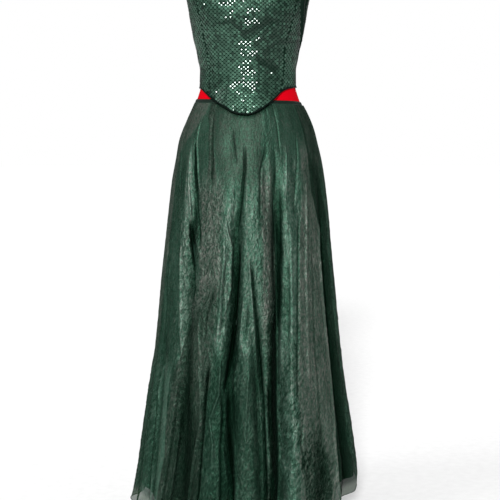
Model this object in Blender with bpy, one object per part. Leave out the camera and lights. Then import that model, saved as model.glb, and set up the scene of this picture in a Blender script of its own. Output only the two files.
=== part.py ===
"""Two-piece dance costume on a limbless dress form: sequinned bodice and lined organza skirt.

Metres, +Z up, the front faces -Y and +X is the wearer's left.
The origin is the middle of the stand's foot, on the floor.
An angle round the body is measured from the front: +90 is +X, 180 is the back.
"""
import math
from bisect import bisect_right

import bmesh
import bpy
from mathutils import Vector

SEAM_GAP = 0.0003

BODICE_WALL = 0.0016
BODICE_CLEARANCE = 0.0016
BASQUE_LIFT = 0.0105
BASQUE_LIFT_TOP_Z = 1.108
BASQUE_LIFT_END_Z = 1.036
BASQUE_LIFT_EDGE = 78.0
BASQUE_LIFT_BLEND = 30.0
FRONT_EASE = 0.0040
FRONT_EASE_EDGE = 54.0
FRONT_EASE_BLEND = 20.0
FRONT_EASE_TOP_Z = 1.395
FRONT_EASE_TOP_BLEND = 0.070
BUST_HEIGHT = 0.012
BUST_Z = 1.285
BUST_Z_SPREAD = 0.050
BUST_ANGLE = 38.0
BUST_ANGLE_SPREAD = 24.0

BAND_HEIGHT = 0.008
BAND_WALL = 0.0020
BAND_CLEARANCE = 0.0006

ORGANZA_WALL = 0.0012
LINING_WALL = 0.0012
LINING_GAP = 0.0035
LINING_GAP_TOP = 0.0006
LINING_GAP_BLEND = 0.10
LINING_REACH_ANGLE = 3.3
LINING_REACH_Z = 0.03
LINING_SHORTER = 0.036
FOLD_FADE = 0.12

ZIP_WIDTH = 0.009
ZIP_WALL = 0.0012
ZIP_TOP_Z = 1.3490
SLIDER_Z = 1.3400
SLIDER_WIDTH = 0.0080
SLIDER_HEIGHT = 0.0090
SLIDER_THICKNESS = 0.0022
SLIDER_CLEARANCE = 0.0004
PIN_RADIUS = 0.0005
PIN_SIDES = 10
PIN_REACH = 0.0018
LUG_WIDTH = 0.0012
LUG_HEIGHT = 0.0030
LUG_OVER_PIN = 0.0006
LUG_OVERLAP = 0.0004
LUG_CLEARANCE = 0.0004
LUG_TIP_LOW = 0.25
LUG_TIP_HIGH = 0.75
PULL_WIDTH = 0.0034
PULL_LENGTH = 0.0150
PULL_THICKNESS = 0.0011
PULL_EYE_RADIUS = 0.0014
PULL_EYE_STEPS = 12
PULL_HOLE_RADIUS = 0.0008

NECK_CAP_HEIGHT = 0.014
NECK_CAP_RADIUS = 0.050
NECK_CAP_SIDES = 28
POLE_RADIUS = 0.0125
POLE_SIDES = 16
FOOT_RADIUS = 0.160
FOOT_HEIGHT = 0.022
FOOT_COLLAR_RADIUS = 0.028
FOOT_COLLAR_HEIGHT = 0.050
FOOT_SIDES = 40

SHARP_ANGLE = 40.0
PLACE_START_Z = 1.2
PLACE_ROUNDS = 8
SHOULDER_REACH = 0.2
SHOULDER_ROUNDS = 30


def named_rows(columns, *rows):
    """A table as a list of rows, each number under the name of its column."""
    return [dict(zip(columns, row)) for row in rows]


def named_columns(columns, *rows):
    """A table as columns of numbers, in the rising order of the first one."""
    return {column: [row[index] for row in rows] for index, column in enumerate(columns)}


# Sections of the dress form, from the flat bottom to the top of the neck.
FORM_SECTIONS = named_columns(
    ("z", "half_width", "front", "back"),
    (0.800, 0.1500, 0.0980, 0.1040),
    (0.850, 0.1660, 0.1060, 0.1180),
    (0.900, 0.1715, 0.1100, 0.1250),
    (0.950, 0.1690, 0.1090, 0.1240),
    (1.000, 0.1570, 0.1050, 0.1160),
    (1.040, 0.1430, 0.1010, 0.1060),
    (1.070, 0.1310, 0.0980, 0.0985),
    (1.090, 0.1240, 0.0955, 0.0935),
    (1.105, 0.1200, 0.0940, 0.0905),
    (1.125, 0.1190, 0.0935, 0.0880),
    (1.150, 0.1192, 0.0940, 0.0870),
    (1.173, 0.1235, 0.0960, 0.0880),
    (1.198, 0.1278, 0.0990, 0.0900),
    (1.223, 0.1342, 0.1030, 0.0930),
    (1.248, 0.1388, 0.1075, 0.0970),
    (1.273, 0.1434, 0.1110, 0.1000),
    (1.298, 0.1472, 0.1125, 0.1030),
    (1.323, 0.1520, 0.1110, 0.1055),
    (1.360, 0.1595, 0.1050, 0.1070),
    (1.400, 0.1650, 0.0960, 0.1040),
    (1.430, 0.1620, 0.0870, 0.0970),
    (1.455, 0.1490, 0.0780, 0.0860),
    (1.475, 0.1230, 0.0700, 0.0750),
    (1.492, 0.0900, 0.0640, 0.0650),
    (1.512, 0.0670, 0.0600, 0.0580),
    (1.545, 0.0580, 0.0560, 0.0550),
    (1.580, 0.0560, 0.0540, 0.0530),
)

# Crest line of the skirt's folds, without the folds.
SKIRT_SECTIONS = named_columns(
    ("z", "half_width", "front", "back", "middle"),
    (0.010, 0.2970, 0.2830, 0.2960, -0.0170),
    (0.060, 0.2925, 0.2775, 0.2910, -0.0100),
    (0.124, 0.2890, 0.2710, 0.2850, -0.0030),
    (0.243, 0.2730, 0.2570, 0.2720, -0.0020),
    (0.350, 0.2565, 0.2430, 0.2580, -0.0030),
    (0.455, 0.2415, 0.2280, 0.2430, -0.0020),
    (0.610, 0.2265, 0.2030, 0.2180, -0.0010),
    (0.715, 0.2145, 0.1830, 0.1990, 0.0000),
    (0.815, 0.2030, 0.1620, 0.1780, 0.0010),
    (0.870, 0.1960, 0.1490, 0.1650, 0.0010),
    (0.920, 0.1870, 0.1360, 0.1520, 0.0015),
    (0.970, 0.1765, 0.1245, 0.1400, 0.0000),
    (0.995, 0.1690, 0.1195, 0.1320, 0.0010),
    (1.020, 0.1590, 0.1145, 0.1230, 0.0020),
    (1.040, 0.1500, 0.1100, 0.1150, 0.0020),
    (1.062, 0.1390, 0.1045, 0.1060, 0.0010),
    (1.075, 0.1325, 0.1020, 0.1015, 0.0000),
)

# Troughs of the skirt. The angles are where a trough runs at the hip, the knee and the hem.
FOLDS = named_rows(
    ("hip", "knee", "hem", "start", "full", "end", "depth", "width"),
    (-8.0, -9.0, -9.0, 0.97, 0.62, -1.0, 0.019, 4.2),
    (-14.0, -14.0, -14.0, 1.01, 0.95, 0.86, 0.003, 3.6),
    (12.5, 10.0, 10.0, 0.98, 0.88, 0.72, 0.006, 3.4),
    (20.5, 20.5, 16.5, 1.00, 0.60, -1.0, 0.034, 4.2),
    (4.5, 6.0, 8.0, 0.66, 0.42, -1.0, 0.013, 3.0),
    (37.0, 35.0, 35.0, 0.99, 0.88, 0.70, 0.006, 4.2),
    (66.0, 67.0, 64.0, 1.02, 0.60, -1.0, 0.021, 6.5),
    (46.0, 46.0, 42.0, 0.42, 0.14, -1.0, 0.014, 6.0),
    (-43.0, -39.0, -38.0, 0.99, 0.74, -1.0, 0.014, 4.6),
    (-34.0, -34.0, -35.0, 0.48, 0.18, -1.0, 0.019, 9.5),
    (-61.0, -61.0, -57.0, 0.66, 0.25, -1.0, 0.015, 5.0),
    (-78.0, -80.0, -78.0, 0.90, 0.45, -1.0, 0.015, 6.0),
    (-100.0, -100.0, -102.0, 0.94, 0.40, -1.0, 0.024, 7.0),
    (-122.0, -121.0, -124.0, 0.98, 0.50, -1.0, 0.026, 7.5),
    (-143.0, -142.0, -141.0, 0.90, 0.42, -1.0, 0.021, 6.5),
    (-161.0, -162.0, -163.0, 0.99, 0.45, -1.0, 0.028, 7.0),
    (177.0, 178.0, 179.0, 0.92, 0.52, -1.0, 0.020, 6.5),
    (157.0, 158.0, 160.0, 0.97, 0.44, -1.0, 0.027, 7.0),
    (137.0, 138.0, 137.0, 0.90, 0.50, -1.0, 0.021, 6.5),
    (117.0, 116.0, 118.0, 0.95, 0.40, -1.0, 0.025, 7.0),
    (93.0, 94.0, 92.0, 0.92, 0.45, -1.0, 0.018, 6.5),
)
HIP_Z = 0.85
KNEE_Z = 0.45
HEM_Z = 0.03

# Height of the organza's hem: it rises towards the wearer's left and the back.
HEM_LINE = named_columns(
    ("angle", "z"),
    (-180.0, 0.056),
    (-135.0, 0.046),
    (-90.0, 0.040),
    (-45.0, 0.020),
    (0.0, 0.014),
    (40.0, 0.018),
    (58.0, 0.036),
    (70.0, 0.049),
    (80.0, 0.055),
    (92.0, 0.080),
    (104.0, 0.089),
    (125.0, 0.084),
    (150.0, 0.066),
    (180.0, 0.056),
)

# Top of the waistband, a little lower on the wearer's left.
BAND_LINE = named_columns(
    ("angle", "z"),
    (-180.0, 1.0740),
    (-90.0, 1.0745),
    (0.0, 1.0715),
    (60.0, 1.0690),
    (90.0, 1.0665),
    (120.0, 1.0690),
    (180.0, 1.0740),
)

# Lower edge of the bodice: a rounded basque point in front.
BODICE_HEM = named_columns(
    ("angle", "z"),
    (-180.0, 1.0840),
    (-150.0, 1.0900),
    (-110.0, 1.1010),
    (-85.0, 1.1030),
    (-70.0, 1.0990),
    (-55.0, 1.0878),
    (-42.0, 1.0745),
    (-30.0, 1.0610),
    (-20.0, 1.0485),
    (-14.0, 1.0400),
    (-7.0, 1.0352),
    (0.0, 1.0345),
    (7.0, 1.0400),
    (14.0, 1.0500),
    (22.0, 1.0630),
    (31.0, 1.0775),
    (38.0, 1.0885),
    (47.0, 1.0960),
    (60.0, 1.1015),
    (80.0, 1.1045),
    (110.0, 1.1030),
    (150.0, 1.0910),
    (180.0, 1.0840),
)

# Upper edge of the bodice: scoop neck, strap ends and armholes.
BODICE_TOP = named_columns(
    ("angle", "z"),
    (-180.0, 1.3960),
    (-162.0, 1.4020),
    (-147.0, 1.4250),
    (-130.0, 1.4250),
    (-116.0, 1.3750),
    (-98.0, 1.3520),
    (-68.0, 1.3520),
    (-56.0, 1.3760),
    (-48.0, 1.4250),
    (-33.0, 1.4250),
    (-20.0, 1.3920),
    (0.0, 1.3830),
    (20.0, 1.3920),
    (33.0, 1.4250),
    (48.0, 1.4250),
    (56.0, 1.3760),
    (68.0, 1.3520),
    (98.0, 1.3520),
    (116.0, 1.3750),
    (130.0, 1.4250),
    (147.0, 1.4250),
    (162.0, 1.4020),
    (180.0, 1.3960),
)

# Where the bodice's seams run round the body at each height.
BODICE_SEAMS = named_columns(
    ("z", "princess_left", "princess_right", "side_left", "side_right"),
    (1.040, 38.0, -50.0, 97.0, -96.0),
    (1.090, 39.5, -51.0, 97.0, -96.0),
    (1.120, 44.0, -52.0, 96.0, -96.0),
    (1.160, 45.5, -52.0, 93.5, -95.0),
    (1.210, 43.5, -52.5, 88.0, -94.0),
    (1.250, 47.5, -53.5, 78.5, -93.0),
    (1.300, 51.0, -56.0, 69.5, -92.0),
    (1.350, 54.0, -58.0, 66.5, -91.0),
    (1.430, 56.0, -60.0, 66.0, -91.0),
)

# Where the skirt's gore seams run at each height.
GORE_SEAMS = named_columns(
    ("z", "front_left", "front_right"),
    (0.01, 16.5, -24.0),
    (0.25, 19.0, -23.0),
    (0.45, 20.5, -22.5),
    (0.72, 21.0, -23.0),
    (0.82, 19.5, -25.5),
    (0.90, 21.0, -28.5),
    (0.97, 27.0, -33.0),
    (1.08, 26.0, -39.0),
)
SIDE_SEAM_LEFT = 90.0
SIDE_SEAM_RIGHT = -90.0
BACK_SEAM_LEFT = 145.0
BACK_SEAM_RIGHT = -145.0

# Drag folds of the bodice, as soft troughs from one end to the other.
DRAG_FOLDS = named_rows(
    ("angle_from", "z_from", "angle_to", "z_to", "depth", "width"),
    (-4.0, 1.226, 28.0, 1.262, 0.0040, 0.0085),
    (-22.0, 1.262, -6.0, 1.236, 0.0018, 0.0080),
    (12.0, 1.176, 40.0, 1.146, 0.0020, 0.0100),
    (150.0, 1.185, 192.0, 1.170, 0.0030, 0.0100),
)

STRAP_ROWS = 10
STRAP_COLUMNS = 3
STRAP_EASE = 0.0010
STRAP_FRONT = (34.0, 47.0)
STRAP_BACK = (146.0, 131.0)
STRAP_SHOULDER_X = (0.0860, 0.1120)
STRAP_CENTRE_Z = 1.400
STRAP_END_Z = 1.4256

# Shares of the skirt's height from the waistband down, closer together over the hip.
SKIRT_ROWS = (0.0, 0.028, 0.058, 0.092, 0.132, 0.178, 0.232, 0.295, 0.37, 0.46, 0.56, 0.67, 0.78, 0.89, 1.0)
LINING_ROWS = (0.0, 0.028, 0.058, 0.092, 0.132, 0.200, 0.300, 0.460, 0.640, 0.820, 1.0)

GORE_COLUMNS = {"front": 22, "side_front": 22, "side_back": 13, "back": 17}
LINING_COLUMNS = 22
BODICE_COLUMNS = {"front": 18, "side": 6, "back": 18}
# Shares of the bodice's height from its lower edge up, closer together at the shoulders.
BODICE_SHARES = (0.0, 0.08, 0.16, 0.25, 0.34, 0.43, 0.52, 0.60, 0.68, 0.76, 0.83, 0.89, 0.95, 1.0)
FORM_COLUMNS = 32
BAND_COLUMNS = 60


def smooth_value(table, key, column, place):
    """Value of a column at a place between the rows, on a smooth curve through them."""
    places = table[key]
    values = table[column]
    last = len(places) - 1
    if place <= places[0]:
        return values[0]
    if place >= places[last]:
        return values[last]
    low = bisect_right(places, place) - 1
    span = places[low + 1] - places[low]
    part = (place - places[low]) / span
    leaving = slope_at(places, values, low) * span
    arriving = slope_at(places, values, low + 1) * span
    rise = values[low + 1] - values[low]
    square = part ** 2 * (3 * rise - 2 * leaving - arriving)
    cube = part ** 3 * (leaving + arriving - 2 * rise)
    return values[low] + part * leaving + square + cube


def slope_at(places, values, index):
    """Slope of the curve at a row: level where the values turn round."""
    before = max(index - 1, 0)
    after = min(index + 1, len(places) - 1)
    if (values[after] - values[index]) * (values[index] - values[before]) <= 0.0:
        return 0.0
    return (values[after] - values[before]) / (places[after] - places[before])


def wrapped(angle):
    """The same direction as an angle from -180 to 180 degrees."""
    return (angle + 180.0) % 360.0 - 180.0


def smooth_step(part):
    part = min(max(part, 0.0), 1.0)
    return part * part * (3.0 - 2.0 * part)


def bell(distance, spread):
    return math.exp(-(distance / spread) ** 2)


def section_point(table, angle, z, middle=0.0):
    """Point of an oval section whose front and back differ in depth."""
    turn = math.radians(angle)
    depth = smooth_value(table, "z", "front" if math.cos(turn) > 0 else "back", z)
    x = smooth_value(table, "z", "half_width", z) * math.sin(turn)
    return Vector((x + middle, -depth * math.cos(turn), z))


def form_surface(angle, z):
    """Skin of the dress form, with a mild bust."""
    point = section_point(FORM_SECTIONS, angle, z)
    height = BUST_HEIGHT * bell(z - BUST_Z, BUST_Z_SPREAD)
    side = abs(wrapped(angle))
    point.y -= height * bell(side - BUST_ANGLE, BUST_ANGLE_SPREAD)
    return point


def drag_fold(angle, z):
    """Depth of the bodice's soft drag folds at a place."""
    radius = smooth_value(FORM_SECTIONS, "z", "half_width", z)
    total = 0.0
    for fold in DRAG_FOLDS:
        start = Vector((math.radians(fold["angle_from"]) * radius, fold["z_from"]))
        end = Vector((math.radians(fold["angle_to"]) * radius, fold["z_to"]))
        place = Vector((math.radians(angle) * radius, z))
        along = (place - start).dot(end - start) / (end - start).length_squared
        away = (place - start.lerp(end, along)).length
        ends = smooth_step((along + 0.15) / 0.3) * smooth_step((1.15 - along) / 0.3)
        total += fold["depth"] * bell(away, fold["width"]) * ends
    return total


def normal_at(surface, angle, z):
    """Outward direction of a surface that is given by an angle and a height."""
    turn = 0.4
    rise = 0.002
    across = surface(angle + turn, z) - surface(angle - turn, z)
    along = surface(angle, z + rise) - surface(angle, z - rise)
    return across.cross(along).normalized()


def turn_for(surface, angle, z, distance):
    """Angle that moves a point of a surface sideways by a distance."""
    across = surface(angle + 0.5, z) - surface(angle - 0.5, z)
    return distance / across.length


def bodice_stand_off(angle, z):
    """How far the bodice stands off the form: ease in front, and the stiff basque point."""
    side = abs(wrapped(angle))
    ease = FRONT_EASE * smooth_step((FRONT_EASE_EDGE - side) / FRONT_EASE_BLEND)
    ease *= smooth_step((FRONT_EASE_TOP_Z - z) / FRONT_EASE_TOP_BLEND)
    below = smooth_step((BASQUE_LIFT_TOP_Z - z) / (BASQUE_LIFT_TOP_Z - BASQUE_LIFT_END_Z))
    lift = BASQUE_LIFT * below * smooth_step((BASQUE_LIFT_EDGE - side) / BASQUE_LIFT_BLEND)
    return BODICE_CLEARANCE + ease + lift - drag_fold(angle, z) * ease / FRONT_EASE


def over_form(offset):
    """A layer that lies a fixed distance outside the dress form."""
    def surface(angle, z):
        return form_surface(angle, z) + normal_at(form_surface, angle, z) * offset
    return surface


def bodice_inner(angle, z):
    return form_surface(angle, z) + normal_at(form_surface, angle, z) * bodice_stand_off(angle, z)


def bodice_outer(angle, z):
    return bodice_inner(angle, z) + normal_at(form_surface, angle, z) * BODICE_WALL


def fold_depth(angle, z):
    """Depth of the skirt's troughs at a place."""
    total = 0.0
    for fold in FOLDS:
        if z > fold["start"]:
            continue
        if z > KNEE_Z:
            share = min((z - KNEE_Z) / (HIP_Z - KNEE_Z), 1.0)
            middle = fold["knee"] + share * (fold["hip"] - fold["knee"])
        else:
            share = min((KNEE_Z - z) / (KNEE_Z - HEM_Z), 1.0)
            middle = fold["knee"] + share * (fold["hem"] - fold["knee"])
        grown = smooth_step((fold["start"] - z) / (fold["start"] - fold["full"]))
        faded = smooth_step((z - fold["end"]) / FOLD_FADE)
        total += fold["depth"] * grown * faded * bell(wrapped(angle - middle), fold["width"])
    return total


def skirt_crest(angle, z):
    middle = smooth_value(SKIRT_SECTIONS, "z", "middle", z)
    return section_point(SKIRT_SECTIONS, angle, z, middle)


def sunk(point, angle, depth):
    """A point moved towards the skirt's axis."""
    turn = math.radians(angle)
    return point - Vector((math.sin(turn), -math.cos(turn), 0.0)) * depth


def organza_outer(angle, z):
    return sunk(skirt_crest(angle, z), angle, fold_depth(angle, z))


def organza_inner(angle, z):
    return organza_outer(angle, z) - normal_at(organza_outer, angle, z) * ORGANZA_WALL


def lining_outer(angle, z):
    """The lining follows the organza's deepest trough nearby, a little further in."""
    turns = (-LINING_REACH_ANGLE, 0.0, LINING_REACH_ANGLE)
    rises = (-LINING_REACH_Z, 0.0, LINING_REACH_Z)
    deepest = max(fold_depth(angle + turn, z + rise) for turn in turns for rise in rises)
    free = smooth_step((skirt_top(angle) - z) / LINING_GAP_BLEND)
    gap = LINING_GAP_TOP + (LINING_GAP - LINING_GAP_TOP) * free
    return sunk(skirt_crest(angle, z), angle, deepest + ORGANZA_WALL + gap)


def lining_inner(angle, z):
    return lining_outer(angle, z) - normal_at(lining_outer, angle, z) * LINING_WALL


def band_top(angle):
    return smooth_value(BAND_LINE, "angle", "z", wrapped(angle))


def band_bottom(angle):
    return band_top(angle) - BAND_HEIGHT


def skirt_top(angle):
    return band_bottom(angle) - SEAM_GAP


def skirt_hem(angle):
    return smooth_value(HEM_LINE, "angle", "z", wrapped(angle))


def lining_hem(angle):
    return skirt_hem(angle) + LINING_SHORTER


def bodice_hem(angle):
    return smooth_value(BODICE_HEM, "angle", "z", wrapped(angle))


def bodice_top(angle):
    return smooth_value(BODICE_TOP, "angle", "z", wrapped(angle))


def seam(table, column, turns=0.0):
    """Angle of a seam at any height, whole turns added for the far side of the back."""
    def edge(z):
        return smooth_value(table, "z", column, z) + turns
    return edge


def straight_seam(angle):
    def edge(z):
        return angle
    return edge


def moved_edge(edge, surface, distance):
    """An edge moved sideways along the cloth."""
    def moved(z):
        angle = edge(z)
        return angle + turn_for(surface, angle, z, distance)
    return moved


def panel_places(start_edge, end_edge, bottom, top, columns, shares):
    """Angle and height of each point of a panel, in rows from its lower edge up."""
    rows = []
    for share in shares:
        row = []
        for column in range(columns + 1):
            across = column / columns
            z = PLACE_START_Z
            for _ in range(PLACE_ROUNDS):
                angle = start_edge(z) + across * (end_edge(z) - start_edge(z))
                z = bottom(angle) + share * (top(angle) - bottom(angle))
            row.append((angle, z))
        rows.append(row)
    return rows


def points_on(surface, places):
    return [[surface(angle, z) for angle, z in row] for row in places]


def wall_mesh(name, outer, inner, closed):
    """Closed mesh of a wall between two grids of points, round a tube or across a panel."""
    mesh = bpy.data.meshes.new(name)
    shape = bmesh.new()
    skins = [[[shape.verts.new(point) for point in row] for row in grid] for grid in (outer, inner)]
    rows = len(outer)
    columns = len(outer[0])
    steps = columns if closed else columns - 1
    front, back = skins
    for skin in skins:
        for low, high in zip(skin, skin[1:]):
            for column in range(steps):
                beside = (column + 1) % columns
                shape.faces.new((low[column], low[beside], high[beside], high[column]))
    for row in (0, rows - 1):
        for column in range(steps):
            beside = (column + 1) % columns
            shape.faces.new((front[row][column], front[row][beside], back[row][beside], back[row][column]))
    if not closed:
        for column in (0, columns - 1):
            for row in range(rows - 1):
                rim = (front[row][column], front[row + 1][column], back[row + 1][column], back[row][column])
                shape.faces.new(rim)
    bmesh.ops.recalc_face_normals(shape, faces=shape.faces)
    shape.to_mesh(mesh)
    shape.free()
    return mesh


def material(name, colour, roughness, metallic=0.0):
    made = bpy.data.materials.new(name)
    made.use_nodes = True
    shader = made.node_tree.nodes["Principled BSDF"]
    shader.inputs["Base Color"].default_value = (*colour, 1.0)
    shader.inputs["Roughness"].default_value = roughness
    shader.inputs["Metallic"].default_value = metallic
    made.diffuse_color = (*colour, 1.0)
    return made


def add_object(name, mesh, finish, smooth=True):
    thing = bpy.data.objects.new(name, mesh)
    bpy.context.collection.objects.link(thing)
    mesh.materials.append(finish)
    if smooth:
        mesh.shade_smooth()
        mesh.set_sharp_from_angle(angle=math.radians(SHARP_ANGLE))
    return thing


def even_shares(count):
    return [index / count for index in range(count + 1)]


def shares_from_top(shares):
    return [1.0 - share for share in reversed(shares)]


def make_panel(name, edges, limits, columns, shares, skins, finish):
    """One cut piece of cloth between two seams, an upper and a lower edge."""
    start_edge = moved_edge(edges[0], skins[0], SEAM_GAP / 2)
    end_edge = moved_edge(edges[1], skins[0], -SEAM_GAP / 2)
    places = panel_places(start_edge, end_edge, limits[0], limits[1], columns, shares)
    mesh = wall_mesh(name, points_on(skins[0], places), points_on(skins[1], places), False)
    return add_object(name, mesh, finish)


def make_bodice(finish):
    """Centre front, two side panels and the back, with the zip's opening on the wearer's left."""
    skins = (bodice_outer, bodice_inner)
    limits = (bodice_hem, bodice_top)
    princess_left = seam(BODICE_SEAMS, "princess_left")
    princess_right = seam(BODICE_SEAMS, "princess_right")
    side_left = seam(BODICE_SEAMS, "side_left")
    side_right = seam(BODICE_SEAMS, "side_right")
    zip_front = moved_edge(side_left, bodice_outer, -ZIP_WIDTH / 2)
    zip_back = moved_edge(side_left, bodice_outer, ZIP_WIDTH / 2)
    side_right_turned = seam(BODICE_SEAMS, "side_right", 360.0)
    panels = (
        ("bodice_front", princess_right, princess_left, "front"),
        ("bodice_side_left", princess_left, zip_front, "side"),
        ("bodice_side_right", side_right, princess_right, "side"),
        ("bodice_back", zip_back, side_right_turned, "back"),
    )
    for name, start, end, kind in panels:
        make_panel(name, (start, end), limits, BODICE_COLUMNS[kind], BODICE_SHARES, skins, finish)


def make_strap(name, side, finish):
    """Shoulder strap from the front panel over the shoulder to the back panel."""
    centre = Vector((0.0, 0.0, STRAP_CENTRE_Z))
    skins = []
    for offset in (BODICE_CLEARANCE + BODICE_WALL, BODICE_CLEARANCE):
        surface = over_form(offset + STRAP_EASE)
        grid = []
        for column in even_shares(STRAP_COLUMNS):
            ends = []
            for angles in (STRAP_FRONT, STRAP_BACK):
                angle = angles[0] + column * (angles[1] - angles[0])
                ends.append(surface(angle, STRAP_END_Z))
            shoulder_x = STRAP_SHOULDER_X[0] + column * (STRAP_SHOULDER_X[1] - STRAP_SHOULDER_X[0])
            line = []
            first = math.atan2(ends[0].z - centre.z, ends[0].y)
            last = math.atan2(ends[1].z - centre.z, ends[1].y)
            for share in even_shares(STRAP_ROWS):
                tilt = first + share * (last - first)
                end = ends[0] if share < 0.5 else ends[1]
                blend = smooth_step(2.0 * min(share, 1.0 - share))
                x = end.x + blend * (shoulder_x - end.x)
                line.append(shoulder_point(x, tilt, centre, offset + STRAP_EASE))
            grid.append(line)
        skins.append([[Vector((side * p.x, p.y, p.z)) for p in line] for line in grid])
    return add_object(name, wall_mesh(name, skins[0], skins[1], False), finish)


def shoulder_point(x, tilt, centre, offset):
    """Point over the form's shoulder at a distance from the middle, seen along X at a tilt."""
    ray = Vector((0.0, math.cos(tilt), math.sin(tilt)))
    near = 0.0
    far = SHOULDER_REACH
    for _ in range(SHOULDER_ROUNDS):
        reach = (near + far) / 2
        if inside_form(Vector((x, 0.0, centre.z)) + ray * reach):
            near = reach
        else:
            far = reach
    return Vector((x, 0.0, centre.z)) + ray * (near + offset)


def inside_form(point):
    column = "front" if point.y < 0 else "back"
    depth = smooth_value(FORM_SECTIONS, "z", column, point.z)
    half_width = smooth_value(FORM_SECTIONS, "z", "half_width", point.z)
    return (point.x / half_width) ** 2 + (point.y / depth) ** 2 < 1.0


def make_zip_tape(finish):
    side_left = seam(BODICE_SEAMS, "side_left")
    outer = over_form(BODICE_CLEARANCE + ZIP_WALL)
    inner = over_form(BODICE_CLEARANCE)
    edges = (
        moved_edge(side_left, bodice_outer, -ZIP_WIDTH / 2),
        moved_edge(side_left, bodice_outer, ZIP_WIDTH / 2),
    )
    limits = (bodice_hem, lambda angle: ZIP_TOP_Z)
    make_panel("bodice_zip_tape", edges, limits, 2, BODICE_SHARES, (outer, inner), finish)


def slider_frame():
    """Place on the zip tape under the slider, with the directions across, up and out."""
    surface = over_form(BODICE_CLEARANCE + ZIP_WALL + SLIDER_CLEARANCE)
    angle = smooth_value(BODICE_SEAMS, "z", "side_left", SLIDER_Z)
    place = surface(angle, SLIDER_Z)
    out = normal_at(surface, angle, SLIDER_Z)
    across = Vector((0.0, 0.0, 1.0)).cross(out).normalized()
    return place, across, out.cross(across).normalized(), out


def prism(name, profile, depth_vector):
    """Closed prism: a flat outline of points pushed along a vector."""
    mesh = bpy.data.meshes.new(name)
    shape = bmesh.new()
    near = [shape.verts.new(point) for point in profile]
    far = [shape.verts.new(point + depth_vector) for point in profile]
    shape.faces.new(near)
    shape.faces.new(list(reversed(far)))
    for index in range(len(profile)):
        after = (index + 1) % len(profile)
        shape.faces.new((near[index], near[after], far[after], far[index]))
    bmesh.ops.recalc_face_normals(shape, faces=shape.faces)
    shape.to_mesh(mesh)
    shape.free()
    return mesh


def helper(name, mesh):
    thing = bpy.data.objects.new(name, mesh)
    bpy.context.collection.objects.link(thing)
    thing.hide_render = True
    thing.display_type = "WIRE"
    return thing


def join_by_union(thing, extra):
    union = thing.modifiers.new("join_" + extra.name, "BOOLEAN")
    union.operation = "UNION"
    union.solver = "EXACT"
    union.object = extra


def make_slider(finish):
    """Slider body with two lugs and the pin between them."""
    place, across, up, out = slider_frame()
    outline = (
        (-0.50, -0.30), (-0.34, -0.50), (0.34, -0.50), (0.50, -0.30),
        (0.50, 0.28), (0.30, 0.50), (-0.30, 0.50), (-0.50, 0.28),
    )
    profile = [place + across * (x * SLIDER_WIDTH) + up * (y * SLIDER_HEIGHT) for x, y in outline]
    body = add_object("bodice_zip_slider", prism("slider", profile, out * SLIDER_THICKNESS), finish, False)
    lug_inner = PULL_WIDTH / 2 + LUG_CLEARANCE
    foot = SLIDER_THICKNESS - LUG_OVERLAP
    reach = SLIDER_THICKNESS + PIN_REACH + PIN_RADIUS + LUG_OVER_PIN
    for side in (-1, 1):
        base = place + across * (side * lug_inner) + up * (-LUG_HEIGHT / 2)
        tip = (LUG_HEIGHT * LUG_TIP_HIGH, LUG_HEIGHT * LUG_TIP_LOW)
        corners = ((foot, 0.0), (foot, LUG_HEIGHT), (reach, tip[0]), (reach, tip[1]))
        lug_profile = [base + out * height + up * rise for height, rise in corners]
        lug = helper("slider_lug", prism("lug", lug_profile, across * (side * LUG_WIDTH)))
        join_by_union(body, lug)
    pin_half = lug_inner + LUG_WIDTH / 2
    centre = pin_centre() - across * pin_half
    ring = []
    for index in range(PIN_SIDES):
        turn = math.tau * index / PIN_SIDES
        ring.append(centre + (out * math.cos(turn) + up * math.sin(turn)) * PIN_RADIUS)
    join_by_union(body, helper("slider_pin", prism("pin", ring, across * (2 * pin_half))))


def pin_centre():
    place, across, up, out = slider_frame()
    return place + out * (SLIDER_THICKNESS + PIN_REACH)


def make_pull(finish):
    """Pull tab that hangs straight down from the slider's pin and turns on it."""
    centre = pin_centre()
    across = slider_frame()[1]
    level_out = across.cross(Vector((0.0, 0.0, 1.0))).normalized()
    neck = math.degrees(math.asin(PULL_THICKNESS / 2 / PULL_EYE_RADIUS))
    sweep = 360.0 - 2 * neck
    turns = [-90.0 + neck + sweep * index / PULL_EYE_STEPS for index in range(PULL_EYE_STEPS + 1)]
    eye = [(PULL_EYE_RADIUS, turn) for turn in turns]
    outline = [(r * math.cos(math.radians(t)), r * math.sin(math.radians(t))) for r, t in eye]
    outline += [(-PULL_THICKNESS / 2, -PULL_LENGTH), (PULL_THICKNESS / 2, -PULL_LENGTH)]
    hole_turns = turns + [-90.0 - neck / 3, -90.0 + neck / 3]
    hole = [(PULL_HOLE_RADIUS * math.cos(math.radians(t)), PULL_HOLE_RADIUS * math.sin(math.radians(t)))
            for t in hole_turns]
    rings = []
    for side in (-0.5, 0.5):
        for loop in (outline, hole):
            rings.append([centre_point(across, level_out, side * PULL_WIDTH, x, z) for x, z in loop])
    mesh = bpy.data.meshes.new("bodice_zip_pull")
    shape = bmesh.new()
    loops = [[shape.verts.new(point) for point in ring] for ring in rings]
    near_out, near_in, far_out, far_in = loops
    sides = ((near_out, near_in), (near_in, far_in), (far_in, far_out), (far_out, near_out))
    for index in range(len(near_out)):
        after = (index + 1) % len(near_out)
        for first, second in sides:
            shape.faces.new((first[index], first[after], second[after], second[index]))
    bmesh.ops.recalc_face_normals(shape, faces=shape.faces)
    shape.to_mesh(mesh)
    shape.free()
    pull = add_object("bodice_zip_pull", mesh, finish, False)
    pull.location = centre


def centre_point(across, out, side, x, z):
    """Point of the pull tab, measured from the pin."""
    return across * side + out * x + Vector((0.0, 0.0, z))


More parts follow.
